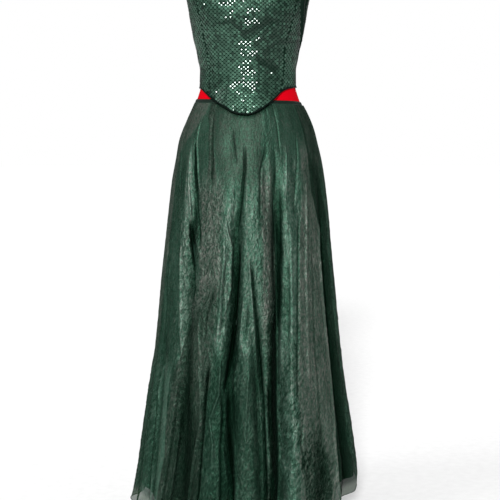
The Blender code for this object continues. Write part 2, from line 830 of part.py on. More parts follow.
def make_waistband(finish):
    shares = even_shares(1)
    outer = over_form(BAND_CLEARANCE + BAND_WALL)
    inner = over_form(BAND_CLEARANCE)
    edges = (straight_seam(-180.0), straight_seam(180.0))
    places = panel_places(edges[0], edges[1], band_bottom, band_top, BAND_COLUMNS, shares)
    places = [row[:-1] for row in places]
    mesh = wall_mesh("skirt_waistband", points_on(outer, places), points_on(inner, places), True)
    add_object("skirt_waistband", mesh, finish)


def make_skirt(finish):
    """Six gores of organza, from the middle of the front round to the back."""
    skins = (organza_outer, organza_inner)
    limits = (skirt_hem, skirt_top)
    shares = shares_from_top(SKIRT_ROWS)
    front_left = seam(GORE_SEAMS, "front_left")
    front_right = seam(GORE_SEAMS, "front_right")
    side_left = straight_seam(SIDE_SEAM_LEFT)
    side_right = straight_seam(SIDE_SEAM_RIGHT)
    back_left = straight_seam(BACK_SEAM_LEFT)
    back_right = straight_seam(BACK_SEAM_RIGHT)
    back_right_turned = straight_seam(BACK_SEAM_RIGHT + 360.0)
    gores = (
        ("skirt_front", front_right, front_left, "front"),
        ("skirt_side_front_left", front_left, side_left, "side_front"),
        ("skirt_side_front_right", side_right, front_right, "side_front"),
        ("skirt_side_back_left", side_left, back_left, "side_back"),
        ("skirt_side_back_right", back_right, side_right, "side_back"),
        ("skirt_back", back_left, back_right_turned, "back"),
    )
    for name, start, end, kind in gores:
        make_panel(name, (start, end), limits, GORE_COLUMNS[kind], shares, skins, finish)


def make_lining(finish):
    skins = (lining_outer, lining_inner)
    limits = (lining_hem, skirt_top)
    shares = shares_from_top(LINING_ROWS)
    side_left = straight_seam(SIDE_SEAM_LEFT)
    side_right = straight_seam(SIDE_SEAM_RIGHT)
    turned_right = straight_seam(SIDE_SEAM_RIGHT + 360.0)
    make_panel("skirt_lining_front", (side_right, side_left), limits, LINING_COLUMNS, shares, skins, finish)
    make_panel("skirt_lining_back", (side_left, turned_right), limits, LINING_COLUMNS, shares, skins, finish)


def solid_of_rings(name, rings):
    """Closed solid through level rings of points, with flat ends."""
    mesh = bpy.data.meshes.new(name)
    shape = bmesh.new()
    loops = [[shape.verts.new(point) for point in ring] for ring in rings]
    for below, above in zip(loops, loops[1:]):
        for index in range(len(below)):
            after = (index + 1) % len(below)
            shape.faces.new((below[index], below[after], above[after], above[index]))
    shape.faces.new(list(reversed(loops[0])))
    shape.faces.new(loops[-1])
    bmesh.ops.recalc_face_normals(shape, faces=shape.faces)
    shape.to_mesh(mesh)
    shape.free()
    return mesh


def turned(name, profile, sides, finish):
    """Turned piece about the Z axis from a profile of radius and height, bottom to top."""
    rings = []
    for radius, z in profile:
        turns = [math.tau * index / sides for index in range(sides)]
        rings.append([Vector((radius * math.cos(turn), radius * math.sin(turn), z)) for turn in turns])
    return add_object(name, solid_of_rings(name, rings), finish)


def make_form(cover, wood, metal):
    """Limbless dress form on a pole and a round foot."""
    angles = [360.0 * index / FORM_COLUMNS - 180.0 for index in range(FORM_COLUMNS)]
    rings = [[form_surface(angle, z) for angle in angles] for z in FORM_SECTIONS["z"]]
    add_object("form_torso", solid_of_rings("form_torso", rings), cover)
    neck_top = FORM_SECTIONS["z"][-1]
    cap_foot = neck_top + SEAM_GAP
    cap_profile = (
        (NECK_CAP_RADIUS - 0.003, cap_foot),
        (NECK_CAP_RADIUS, cap_foot + 0.003),
        (NECK_CAP_RADIUS, cap_foot + NECK_CAP_HEIGHT - 0.005),
        (NECK_CAP_RADIUS - 0.006, cap_foot + NECK_CAP_HEIGHT),
    )
    turned("form_neck_cap", cap_profile, NECK_CAP_SIDES, wood)
    form_bottom = FORM_SECTIONS["z"][0]
    collar_top = FOOT_COLLAR_HEIGHT
    pole_profile = ((POLE_RADIUS, collar_top + SEAM_GAP), (POLE_RADIUS, form_bottom - SEAM_GAP))
    turned("form_pole", pole_profile, POLE_SIDES, metal)
    foot_profile = (
        (FOOT_RADIUS - 0.002, 0.0),
        (FOOT_RADIUS, 0.003),
        (FOOT_RADIUS, 0.010),
        (FOOT_RADIUS - 0.006, 0.014),
        (FOOT_COLLAR_RADIUS + 0.014, FOOT_HEIGHT),
        (FOOT_COLLAR_RADIUS, FOOT_HEIGHT + 0.006),
        (FOOT_COLLAR_RADIUS - 0.006, collar_top - 0.002),
        (FOOT_COLLAR_RADIUS - 0.008, collar_top),
    )
    turned("form_foot", foot_profile, FOOT_SIDES, metal)


def make_costume():
    for thing in list(bpy.data.objects):
        bpy.data.objects.remove(thing)
    sequins = material("sequin_cloth", (0.036, 0.120, 0.075), 0.35, 0.5)
    organza = material("organza", (0.042, 0.098, 0.068), 0.45)
    lining = material("lining", (0.012, 0.045, 0.028), 0.60)
    band = material("waistband", (0.008, 0.026, 0.018), 0.80)
    tape = material("zip_tape", (0.012, 0.040, 0.026), 0.80)
    zip_metal = material("zip_metal", (0.10, 0.12, 0.11), 0.35, 1.0)
    cover = material("form_cover", (0.78, 0.005, 0.012), 0.85)
    wood = material("form_wood", (0.05, 0.03, 0.02), 0.45)
    metal = material("stand_metal", (0.02, 0.02, 0.022), 0.40)
    make_form(cover, wood, metal)
    make_bodice(sequins)
    make_strap("bodice_strap_left", 1, sequins)
    make_strap("bodice_strap_right", -1, sequins)
    make_zip_tape(tape)
    make_slider(zip_metal)
    make_pull(zip_metal)
    make_waistband(band)
    make_skirt(organza)
    make_lining(lining)


make_costume()
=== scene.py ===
"""Looks of the two-piece dance costume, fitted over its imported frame.

Metres, +Z up, the front faces -Y and +X is the wearer's left.
An angle round the body is measured from the front: +90 is +X, 180 is the back.
"""
import math

import bpy
import numpy as np
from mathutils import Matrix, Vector


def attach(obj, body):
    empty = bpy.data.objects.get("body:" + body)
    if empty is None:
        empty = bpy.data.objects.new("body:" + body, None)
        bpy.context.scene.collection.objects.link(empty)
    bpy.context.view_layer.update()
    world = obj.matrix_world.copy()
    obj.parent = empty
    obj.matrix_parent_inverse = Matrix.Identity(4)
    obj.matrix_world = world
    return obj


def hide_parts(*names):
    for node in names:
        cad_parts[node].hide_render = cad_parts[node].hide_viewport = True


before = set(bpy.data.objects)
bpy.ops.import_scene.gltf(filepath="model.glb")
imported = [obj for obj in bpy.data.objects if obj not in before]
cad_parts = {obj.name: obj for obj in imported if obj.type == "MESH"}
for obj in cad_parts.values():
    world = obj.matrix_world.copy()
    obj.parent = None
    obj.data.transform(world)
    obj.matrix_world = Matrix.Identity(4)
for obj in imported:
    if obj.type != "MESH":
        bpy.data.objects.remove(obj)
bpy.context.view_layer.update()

COSTUME = "costume"
UP = np.array([0.0, 0.0, 1.0])
NOISE_ROWS = 97

# Walls, gaps and clearances of the solids that the looks are fitted over.
SEAM_GAP = 0.0003
BODICE_CLEARANCE = 0.0016
BAND_HEIGHT = 0.008
BAND_TUCK = 0.002
BAND_CLEARANCE = 0.0006
BAND_WALL = 0.0013
ORGANZA_WALL = 0.0012
LINING_WALL = 0.0012
LINING_GAP = 0.0035
LINING_GAP_TOP = 0.0006
LINING_GAP_BLEND = 0.10
LINING_REACH_ANGLE = 3.3
LINING_REACH_Z = 0.03
LINING_SHORTER = 0.036
LINING_SET_BACK = 0.0025
LINING_RISE = 0.032
LINING_RISE_ANGLE = -67.0
LINING_RISE_WIDTH = 12.0
ZIP_WIDTH = 0.009
ZIP_TOP_Z = 1.3490

# Heights of the bodice's layers over the inside of its wall.
CLOTH_OUT = 0.0009
CLOTH_IN = 0.0003
TAPE_OUT = 0.0010
TAPE_IN = 0.0004
BINDING_OUT = 0.0011
SEQUIN_OUT = 0.0016

# Ease of the bodice in front, and the lift of its basque point off the skirt.
BASQUE_LIFT = 0.0105
BASQUE_LIFT_TOP_Z = 1.108
BASQUE_LIFT_END_Z = 1.036
BASQUE_LIFT_EDGE = 78.0
BASQUE_LIFT_BLEND = 30.0
FRONT_EASE = 0.0040
FRONT_EASE_EDGE = 54.0
FRONT_EASE_BLEND = 20.0
FRONT_EASE_TOP_Z = 1.395
FRONT_EASE_TOP_BLEND = 0.070

# Bust of the dress form.
BUST_HEIGHT = 0.012
BUST_Z = 1.285
BUST_Z_SPREAD = 0.050
BUST_ANGLE = 38.0
BUST_ANGLE_SPREAD = 24.0

# Shoulder straps: rows and columns, angles of both edges in front and behind, and their way over the top.
STRAP_GRID = (60, 12)
STRAP_EASE = 0.0010
STRAP_FRONT = (34.0, 47.0)
STRAP_BACK = (146.0, 131.0)
STRAP_SHOULDER_X = (0.0860, 0.1120)
STRAP_CENTRE_Z = 1.400
STRAP_END_Z = 1.4256

# Angles of the skirt's straight seams.
SIDE_SEAM_LEFT = 90.0
SIDE_SEAM_RIGHT = -90.0
BACK_SEAM_LEFT = 145.0
BACK_SEAM_RIGHT = -145.0


def wrapped(angle):
    """The same angle from -180 to 180."""
    return (np.asarray(angle) + 180.0) % 360.0 - 180.0


def smooth_step(part):
    """Soft step from 0 to 1."""
    part = np.clip(part, 0.0, 1.0)
    return part * part * (3.0 - 2.0 * part)


def bell(distance, spread):
    """Bell curve that is 1 in its middle."""
    return np.exp(-(distance / spread) ** 2)


def unit(vectors):
    """Vectors brought to a length of 1."""
    return vectors / np.linalg.norm(vectors, axis=-1, keepdims=True)


def smooth_curve(places, values):
    """Smooth function through some points, level where its values turn round."""
    places = np.array(places, dtype=float)
    values = np.array(values, dtype=float)
    last = len(places) - 1
    rises = np.diff(values)
    slopes = np.zeros_like(values)
    means = (values[2:] - values[:-2]) / (places[2:] - places[:-2])
    slopes[1:-1] = np.where(rises[1:] * rises[:-1] > 0.0, means, 0.0)

    def at(place):
        place = np.clip(place, places[0], places[last])
        low = np.clip(np.searchsorted(places, place, side="right") - 1, 0, last - 1)
        span = places[low + 1] - places[low]
        part = (place - places[low]) / span
        leaving = slopes[low] * span
        arriving = slopes[low + 1] * span
        square = part ** 2 * (3 * rises[low] - 2 * leaving - arriving)
        cube = part ** 3 * (leaving + arriving - 2 * rises[low])
        return values[low] + part * leaving + square + cube

    return at


def curves(columns, *rows):
    """A table as smooth functions of its first column, one for each other column."""
    places, *others = zip(*rows)
    return {name: smooth_curve(places, values) for name, values in zip(columns[1:], others)}


def edge_line(*points):
    """Height of an edge at each angle round the body, through pairs of angle and height."""
    line = smooth_curve(*zip(*points))
    return lambda angle: line(wrapped(angle))


# Sections of the dress form, from the flat bottom to the top of the neck.
FORM_BOTTOM_Z = 0.8
FORM_TOP_Z = 1.58
FORM = curves(
    ("z", "half_width", "front", "back"),
    (FORM_BOTTOM_Z, 0.15, 0.098, 0.104),
    (0.85, 0.166, 0.106, 0.118),
    (0.9, 0.1715, 0.11, 0.125),
    (0.95, 0.169, 0.109, 0.124),
    (1.0, 0.157, 0.105, 0.116),
    (1.04, 0.143, 0.101, 0.106),
    (1.07, 0.131, 0.098, 0.0985),
    (1.09, 0.124, 0.0955, 0.0935),
    (1.105, 0.12, 0.094, 0.0905),
    (1.125, 0.119, 0.0935, 0.088),
    (1.15, 0.1192, 0.094, 0.087),
    (1.173, 0.1235, 0.096, 0.088),
    (1.198, 0.1278, 0.099, 0.09),
    (1.223, 0.1342, 0.103, 0.093),
    (1.248, 0.1388, 0.1075, 0.097),
    (1.273, 0.1434, 0.111, 0.1),
    (1.298, 0.1472, 0.1125, 0.103),
    (1.323, 0.152, 0.111, 0.1055),
    (1.36, 0.1595, 0.105, 0.107),
    (1.4, 0.165, 0.096, 0.104),
    (1.43, 0.162, 0.087, 0.097),
    (1.455, 0.149, 0.078, 0.086),
    (1.475, 0.123, 0.07, 0.075),
    (1.492, 0.09, 0.064, 0.065),
    (1.512, 0.067, 0.06, 0.058),
    (1.545, 0.058, 0.056, 0.055),
    (FORM_TOP_Z, 0.056, 0.054, 0.053),
)

# Crest line of the skirt's folds, without the folds.
SKIRT = curves(
    ("z", "half_width", "front", "back", "middle"),
    (0.01, 0.297, 0.283, 0.296, -0.017),
    (0.06, 0.2925, 0.2775, 0.291, -0.01),
    (0.124, 0.289, 0.271, 0.285, -0.003),
    (0.243, 0.273, 0.257, 0.272, -0.002),
    (0.35, 0.2565, 0.243, 0.258, -0.003),
    (0.455, 0.2415, 0.228, 0.243, -0.002),
    (0.61, 0.2265, 0.203, 0.218, -0.001),
    (0.715, 0.2145, 0.183, 0.199, 0),
    (0.815, 0.203, 0.162, 0.178, 0.001),
    (0.87, 0.196, 0.149, 0.165, 0.001),
    (0.92, 0.187, 0.136, 0.152, 0.0015),
    (0.97, 0.1765, 0.1245, 0.14, 0),
    (0.995, 0.169, 0.1195, 0.132, 0.001),
    (1.02, 0.159, 0.1145, 0.123, 0.002),
    (1.04, 0.15, 0.11, 0.115, 0.002),
    (1.062, 0.139, 0.1045, 0.106, 0.001),
    (1.075, 0.1325, 0.102, 0.1015, 0),
)

# Troughs of the skirt: the angle at the hip, the knee and the hem, the heights where a trough starts,
# is full and ends, its depth, and its width in degrees.
FOLDS = (
    (-8, -9, -9, 0.97, 0.62, -1, 0.019, 4.2),
    (-14, -14, -14, 1.01, 0.95, 0.86, 0.003, 3.6),
    (12.5, 10, 10, 0.98, 0.88, 0.72, 0.006, 3.4),
    (20.5, 20.5, 16.5, 1.0, 0.6, -1, 0.034, 4.2),
    (4.5, 6, 8, 0.66, 0.42, -1, 0.013, 3),
    (37, 35, 35, 0.99, 0.88, 0.7, 0.006, 4.2),
    (66, 67, 64, 1.02, 0.6, -1, 0.021, 6.5),
    (46, 46, 42, 0.42, 0.14, -1, 0.014, 6),
    (-43, -39, -38, 0.99, 0.74, -1, 0.014, 4.6),
    (-34, -34, -35, 0.48, 0.18, -1, 0.019, 9.5),
    (-61, -61, -57, 0.66, 0.25, -1, 0.015, 5),
    (-78, -80, -78, 0.9, 0.45, -1, 0.015, 6),
    (-100, -100, -102, 0.94, 0.4, -1, 0.024, 7),
    (-122, -121, -124, 0.98, 0.5, -1, 0.026, 7.5),
    (-143, -142, -141, 0.9, 0.42, -1, 0.021, 6.5),
    (-161, -162, -163, 0.99, 0.45, -1, 0.028, 7),
    (177, 178, 179, 0.92, 0.52, -1, 0.02, 6.5),
    (157, 158, 160, 0.97, 0.44, -1, 0.027, 7),
    (137, 138, 137, 0.9, 0.5, -1, 0.021, 6.5),
    (117, 116, 118, 0.95, 0.4, -1, 0.025, 7),
    (93, 94, 92, 0.92, 0.45, -1, 0.018, 6.5),
)
HIP_Z = 0.85
KNEE_Z = 0.45
HEM_Z = 0.03
FOLD_FADE = 0.12

# The organza's hem on its solid: it rises towards the wearer's left and the back.
skirt_hem = edge_line(
    (-180, 0.056), (-135, 0.046), (-90, 0.04), (-45, 0.02), (0, 0.014), (40, 0.018), (58, 0.036),
    (70, 0.049), (80, 0.055), (92, 0.08), (104, 0.089), (125, 0.084), (150, 0.066), (180, 0.056),
)

# How much higher the organza itself hangs, in tips at the wearer's left.
hem_tips = edge_line(
    (-180, 0), (55, 0), (63, 0.028), (79, 0.023), (87, 0.038), (95, 0.026), (106, 0.026), (130, 0), (180, 0),
)

# Top of the waistband, a little lower on the wearer's left.
band_top = edge_line(
    (-180, 1.074), (-90, 1.0745), (0, 1.0715), (60, 1.069), (90, 1.0665), (120, 1.069), (180, 1.074),
)

# Lower edge of the bodice: a rounded basque point in front.
bodice_hem = edge_line(
    (-180, 1.084), (-150, 1.09), (-110, 1.101), (-85, 1.103), (-70, 1.099), (-55, 1.0878), (-42, 1.0745),
    (-30, 1.061), (-20, 1.0485), (-14, 1.04), (-7, 1.0352), (0, 1.0345), (7, 1.04), (14, 1.05), (22, 1.063),
    (31, 1.0775), (38, 1.0885), (47, 1.096), (60, 1.1015), (80, 1.1045), (110, 1.103), (150, 1.091),
    (180, 1.084),
)

# Upper edge of the bodice: scoop neck, strap ends and armholes.
bodice_top = edge_line(
    (-180, 1.396), (-162, 1.402), (-147, 1.425), (-130, 1.425), (-116, 1.375), (-98, 1.352), (-68, 1.352),
    (-56, 1.376), (-48, 1.425), (-33, 1.425), (-20, 1.392), (0, 1.383), (20, 1.392), (33, 1.425), (48, 1.425),
    (56, 1.376), (68, 1.352), (98, 1.352), (116, 1.375), (130, 1.425), (147, 1.425),
    (162, 1.402), (180, 1.396),
)

# Where the bodice's seams run round the body at each height.
SEAMS = curves(
    ("z", "princess_left", "princess_right", "side_left", "side_right"),
    (1.04, 38, -50, 97, -96),
    (1.09, 39.5, -51, 97, -96),
    (1.12, 44, -52, 96, -96),
    (1.16, 45.5, -52, 93.5, -95),
    (1.21, 43.5, -52.5, 88, -94),
    (1.25, 47.5, -53.5, 78.5, -93),
    (1.3, 51, -56, 69.5, -92),
    (1.35, 54, -58, 66.5, -91),
    (1.43, 56, -60, 66, -91),
)

# Where the seams of the skirt's front gore run at each height.
GORES = curves(
    ("z", "front_left", "front_right"),
    (0.01, 16.5, -24),
    (0.25, 19, -23),
    (0.45, 20.5, -22.5),
    (0.72, 21, -23),
    (0.82, 19.5, -25.5),
    (0.9, 21, -28.5),
    (0.97, 27, -33),
    (1.08, 26, -39),
)

# Drag folds of the bodice, soft troughs: angle and height of both ends, depth and width.
DRAG_FOLDS = (
    (-4, 1.226, 28, 1.262, 0.0040, 0.0085),
    (-22, 1.262, -6, 1.236, 0.0018, 0.0080),
    (12, 1.176, 40, 1.146, 0.0020, 0.0100),
    (150, 1.185, 192, 1.170, 0.0030, 0.0100),
)

# Creases of the organza beside its main folds: height (a trough is less than 0), width to the left and
# to the right as seen from the front, all in millimetres, and the line, as heights and angles from the
# top down.
CREASES = (
    (-6, 3.5, 6, ((0.968, -47.8), (0.812, -40.8), (0.764, -36.2), (0.724, -34.2))),
    (-9, 4, 6, ((0.765, -45.4), (0.714, -43), (0.654, -39.4), (0.605, -36.8))),
    (4, 5, 3, ((0.942, -51.8), (0.78, -45.2))),
    (3, 3, 3, ((1.012, -48.6), (0.904, -42.4), (0.85, -37.6))),
    (3.5, 3, 3, ((0.74, -39.6), (0.71, -34.8), (0.686, -32))),
    (-2.5, 3, 3, ((0.952, -67.6), (0.848, -58))),
    (2.5, 3, 3, ((0.706, -50.8), (0.434, -42.8))),
    (-2.5, 3, 3, ((0.758, -74.4), (0.672, -65.6), (0.574, -62.4), (0.472, -63.6))),
    (-3, 3, 4, ((1.026, -34.8), (0.972, -30.2), (0.87, -27.4))),
    (-2.5, 2.5, 4, ((0.986, -13.2), (0.924, -9.8))),
    (-4, 4, 4, ((0.948, -2.8), (0.9, -2.8), (0.764, -7.2))),
    (-3.5, 2.5, 4, ((0.954, 14), (0.904, 9.2), (0.794, 8.2))),
    (-3, 1.5, 2, ((1.036, 25), (0.948, 25.4))),
    (-3.5, 2, 2.5, ((0.938, 21), (0.792, 18.8))),
    (-3, 2, 3, ((0.972, 43), (0.796, 34.2))),
    (2.5, 3, 2.5, ((0.948, 31.2), (0.826, 27))),
    (-2.5, 3, 3, ((0.826, 23), (0.676, 23.6))),
    (4.5, 3.5, 3, ((0.766, -14.8), (0.716, -11.4), (0.61, -11.2), (0.572, -13.2))),
    (3.5, 3, 4, ((0.706, -15.4), (0.48, -18))),
    (-3, 3, 3, ((0.678, -14), (0.504, -15.6))),
    (-6, 4, 5, ((0.706, -6.4), (0.514, -8.4), (0.372, -12.2))),
    (-6, 1.6, 4.5, ((0.668, 2), (0.534, 5.6), (0.348, 8.4), (0.112, 9))),
    (3, 4, 2, ((0.678, 1), (0.348, 7.4), (0.204, 8))),
    (3, 3, 3, ((0.616, -0.6), (0.582, -2.6), (0.464, -5))),
    (-2.5, 2.5, 3, ((0.588, 0.6), (0.522, 0), (0.492, -1.6))),
    (3, 2.5, 3, ((0.488, -3.8), (0.44, -1))),
    (3, 2.5, 2.5, ((0.62, -21.4), (0.59, -23.8), (0.556, -28.8))),
    (-3.5, 3, 3, ((0.624, -21), (0.586, -22.4), (0.552, -25.2), (0.514, -26))),
    (2.5, 2, 2.5, ((0.546, -30), (0.508, -30.8), (0.428, -27.6))),
    (3, 2.5, 2.5, ((0.476, -24.2), (0.428, -20.6))),
    (4, 2, 5, ((0.704, 20.2), (0.644, 19.6), (0.538, 15.8))),
    (3.5, 4, 3, ((0.686, 24.8), (0.414, 22.4))),
    (-2.5, 3, 3, ((0.676, 27.4), (0.488, 25.4))),
    (1.5, 4, 4, ((0.748, 30.2), (0.224, 24.4))),
    (-3, 4, 4, ((0.776, 37.4), (0.68, 34.4), (0.344, 29.2))),
    (2.5, 5, 5, ((0.874, 47.2), (0.654, 40.6), (0.388, 37.6))),
    (-2, 4, 4, ((0.726, 48.2), (0.604, 45.6), (0.482, 44.6), (0.236, 44.6))),
    (4, 5, 1.8, (
        (0.774, 58.8), (0.688, 55), (0.588, 54.8), (0.422, 57.6),
        (0.328, 56.2), (0.23, 53.2), (0.132, 52.4), (0.082, 54.8),
    )),
    (-6, 1.8, 5, ((0.772, 68), (0.494, 69.2), (0.316, 67.2), (0.228, 55.2), (0.13, 53.8), (0.068, 64.6))),
    (-8, 5, 2.2, ((0.42, -22.4), (0.25, -23.8), (0.1, -24.6))),
    (5, 2.2, 2.2, ((0.426, -28.8), (0.34, -25.8), (0.284, -25.8), (0.192, -29.4), (0.1, -30.8))),
    (4.5, 2.2, 2.2, ((0.25, -41.6), (0.09, -42.8))),
    (-2.5, 2, 3, ((0.306, -40.6), (0.25, -40.4))),
    (6.5, 2.6, 2.6, ((0.43, -15.4), (0.358, -15.6), (0.3, -19.8), (0.238, -17.6), (0.2, -17.8))),
    (-4, 3, 3, ((0.362, -14), (0.318, -12.8), (0.23, -13.6), (0.128, -12.6))),
    (-5, 3, 2.5, ((0.356, -10.2), (0.298, -10.2), (0.11, -7))),
    (3, 2.5, 2.5, ((0.224, -12.8), (0.154, -10.2), (0.116, -10))),
    (3, 2.5, 3, ((0.27, -8), (0.238, -6.6), (0.12, -5))),
    (3.5, 2.5, 3.5, ((0.43, -6.2), (0.404, -7.4), (0.342, -7))),
    (2.5, 3, 3, ((0.416, 1), (0.242, -1.2))),
    (2.5, 2, 3, ((0.326, 10), (0.144, 10.8))),
    (-4, 3, 3, ((0.388, 12.6), (0.254, 12.4))),
    (2, 2.5, 3, ((0.202, 11.2), (0.104, 15.8))),
    (3.5, 2, 2.5, ((0.352, -63), (0.146, -60.8), (0.074, -58.8))),
    (-3.5, 2.5, 2.5, ((0.33, -63.6), (0.096, -60.2))),
    (2.5, 4, 3, ((0.452, -45.6), (0.414, -44), (0.37, -44))),
    (-3, 2, 3, ((0.374, -43), (0.09, -46.4))),
    (1.5, 4, 4, ((0.382, 25.4), (0.304, 21.8))),
    (1.5, 3.5, 3.5, ((0.296, 28.8), (0.248, 25.8), (0.138, 21.6))),
    (-3, 3, 3, ((0.286, 31), (0.238, 28.8), (0.194, 30.4))),
)
CREASE_RADIUS = 235.0
CREASE_FADE = 0.05
# Painted shade in the creases' troughs and painted highlight on their ridges, both full at this height.
CREASE_SHADE = 0.85
CREASE_SHINE = 0.50
CREASE_DEEP = 0.0048
LINE_TOP = 1.03
LINE_FOOT = 0.16
BACK_TURN = 186.0

# Where the shot cloth shows its taupe thread (1) or its green one (0), its painted light and shade there
# (a factor on its colour), how strongly it is crushed, how soft the zone's edge is, and the outline:
# heights from the top down, each with the angles of the two edges.
CLOTH_ZONES = (
    (0.7, 1.5, 0.5, 7, ((1.059, -81.6, -43.8), (0.995, -82.2, -54.2), (0.925, -82.6, -71.6))),
    (0.18, 0.92, 0.5, 2, (
        (0.96, -71.6, -62.4), (0.91, -70.8, -59), (0.848, -64.6, -55.2), (0.811, -63.4, -54.6),
    )),
    (0.28, 1.9, 0.7, 1.5, ((0.948, -54.8, -48.4), (0.886, -52.6, -45.6), (0.672, -48.6, -42.4))),
    (0.3, 1.62, 1.2, 1.5, (
        (0.762, -53.4, -44.8), (0.581, -47.2, -36.2), (0.508, -45.6, -35.6), (0.404, -44.4, -40.8),
    )),
    (0.75, 0.72, 0.7, 1.2, ((1.04, -40.8, -33.4), (0.948, -31.6, -27), (0.862, -30.6, -23.4))),
    (0.5, 0.73, 0.2, 4, ((1.056, -36.2, 12.8), (0.948, -25.4, 10.2), (0.862, -21.8, 6.8))),
    (0.7, 1.22, 1.1, 6, (
        (0.862, -39.4, -18.8), (0.79, -34.8, -17), (0.597, -33.2, -18), (0.547, -39.6, -23.8),
    )),
    (0.6, 0.78, 0.85, 1, (
        (0.586, -27, -19.2), (0.511, -40.4, -20.4), (0.4, -47, -21.6), (0.098, -51, -24.4),
    )),
    (0.22, 1.78, 1.1, 1.5, (
        (0.851, -13.6, -6.2), (0.766, -15.4, -10.4), (0.61, -16.2, -10.6), (0.438, -19.4, -14.8),
    )),
    (0.2, 1.38, 1, 1.5, ((0.874, -1, 7.6), (0.79, -2, 6.4), (0.54, -4, 9.2), (0.468, -5, 7.4))),
    (0.75, 1.38, 1, 3, ((0.904, 8.8, 17.4), (0.633, 9.2, 21.6), (0.468, 8.6, 13))),
    (0.14, 1.55, 0.9, 1.2, ((0.922, 27, 41.8), (0.676, 24.4, 34.4), (0.48, 22.2, 31))),
    (0.2, 1.2, 0.9, 1.2, ((0.48, 22.2, 31), (0.106, 19.2, 26.4))),
    (0.6, 1.5, 0.75, 2, (
        (0.972, 46.4, 55.8), (0.922, 43.6, 53), (0.849, 41.6, 53), (0.787, 38.6, 57), (0.702, 35.8, 55.6),
        (0.58, 33.6, 54.2), (0.457, 31.2, 57.8), (0.335, 29.2, 57), (0.215, 27.4, 53.2), (0.095, 26.4, 54.2),
    )),
    (0.6, 0.68, 1.5, 2.5, ((0.241, 31.4, 44), (0.192, 28.2, 48), (0.097, 29.2, 48.8))),
    (0.55, 1.35, 0.8, 1, ((0.422, 54.8, 70), (0.328, 52.4, 58.2), (0.207, 49.6, 53.2), (0.084, 50, 54.2))),
    (0.42, 0.5, 0.4, 1.5, (
        (1.052, 53.8, 69.2), (0.984, 52.8, 72), (0.922, 53, 69.6), (0.847, 53, 72), (0.784, 57, 74.8),
        (0.697, 55.6, 73), (0.594, 68.4, 73.6), (0.39, 68.2, 75.8), (0.315, 66.6, 74.2), (0.219, 54.8, 72.2),
        (0.066, 55.8, 78),
    )),
    (0.6, 0.8, 0.5, 3, ((1.05, 54, 76), (0.95, 57, 76), (0.9, 59, 76))),
    (0.04, 1.72, 0.45, 0.8, ((0.43, -63.6, -48), (0.36, -62.6, -50), (0.082, -60, -49))),
    (0.08, 0.94, 0.4, 2, (
        (0.784, -77.2, -57.2), (0.571, -84.2, -48), (0.387, -87.2, -63.6), (0.059, -82, -59.8),
    )),
    (0.6, 1.4, 0.6, 2, ((1, -95, -70), (0.7, -95, -67), (0.42, -95, -73))),
    (0.06, 0.62, 0.9, 2, (
        (0.461, -20.4, -9.8), (0.394, -21.8, -8.6), (0.3, -22.4, -0.8), (0.227, -23.4, 8), (0.11, -23.8, 8.6),
    )),
    (0.25, 0.7, 0.9, 2, ((0.433, -3.6, 7.4), (0.349, -2.2, 8.4), (0.113, -4.8, 8.6))),
    (0.55, 0.5, 1.6, 1, ((0.561, 12.8, 19.2), (0.466, 11.8, 17.4), (0.108, 10.4, 19.2))),
    (0.1, 0.6, 0.25, 0.8, (
        (0.79, 22.8, 23.8), (0.728, 21.4, 24.3), (0.688, 20.2, 24), (0.608, 19, 23.4), (0.478, 17.4, 21.6),
        (0.41, 18, 21.3),
    )),
    (0.15, 0.62, 0.2, 0.7, (
        (0.44, 17.6, 21.3), (0.344, 17, 20.4), (0.27, 14.6, 18.8), (0.2, 13.8, 19), (0.1, 12.2, 19.2),
    )),
    (0.08, 1.45, 0.75, 0.6, ((0.7, 24, 27), (0.478, 21.6, 26.5), (0.42, 21.4, 26))),
    (0.08, 1.12, 0.75, 0.6, ((0.414, 21.4, 26), (0.344, 20.4, 25.5), (0.27, 18.8, 24.8), (0.1, 19.2, 24.4))),
)
ZONE_WAVE = 1.1
ZONE_COARSE_RISE = 0.02
ZONE_FINE_RISE = 0.015
# Outside the zones: taupe share, and the factor of painted light and shade.
PLAIN_TAUPE = 0.12
PLAIN_PAINTED_SHADING = 0.93
ZONE_FADE = 0.08
# Painted shade in the hollows of the skirt's folds: full at this depth, how dark, and how far it is shifted
# aside at one fold.
HOLLOW_DEPTH = 0.022
HOLLOW_SHADE = 0.70
HOLLOW_ASIDE = 4.0
# Painted shadow on the skirt just under the bodice's hem: how dark, and how far down it reaches.
BASQUE_SHADE = 0.75
BASQUE_SHADE_REACH = 0.008

# Where the crushed strokes lean: angle and its spread, height and its spread, share.
LEANING = (
    (27, 8, 0.28, 0.20, 1.0),
    (42, 9, 0.17, 0.12, 0.8),
    (-66, 8, 0.26, 0.20, 0.6),
    (-30, 7, 0.62, 0.10, 0.5),
    (-10, 6, 0.50, 0.12, 0.4),
)

# Crushed pleats: cells round the body, height of a cell, seed, lean, sharpness and height of the ridges.
PLEATS = (
    (150, 0.060, 21, 0.0, 2.2, 0.0008),
    (200, 0.026, 22, 0.9, 2.5, 0.0015),
    (230, 0.022, 23, -0.9, 2.5, 0.0015),
    (330, 0.015, 24, 0.7, 2.0, 0.0007),
)
PLEAT_MIDDLE = 0.0013


# Soft noises: cells round the body, height of a cell, seed.
NOISES = {
    "crush_patches": (24, 0.16, 31),
    "hem_wave": (64, 0.5, 41),
    "gathers": (150, 0.30, 42),
    "zone_edge": (90, 0.05, 51),
    "zone_coarse": (40, 0.12, 52),
    "zone_height": (120, 0.06, 53),
    "sequin_tint": (20, 0.06, 61),
    "lining_ripple": (130, 0.14, 71),
}

# Unevenness of the bodice's cloth: height, cells round the body, height of a cell, seed.
UNEVEN = ((0.0004, 26, 0.034, 11), (0.0003, 52, 0.017, 12))

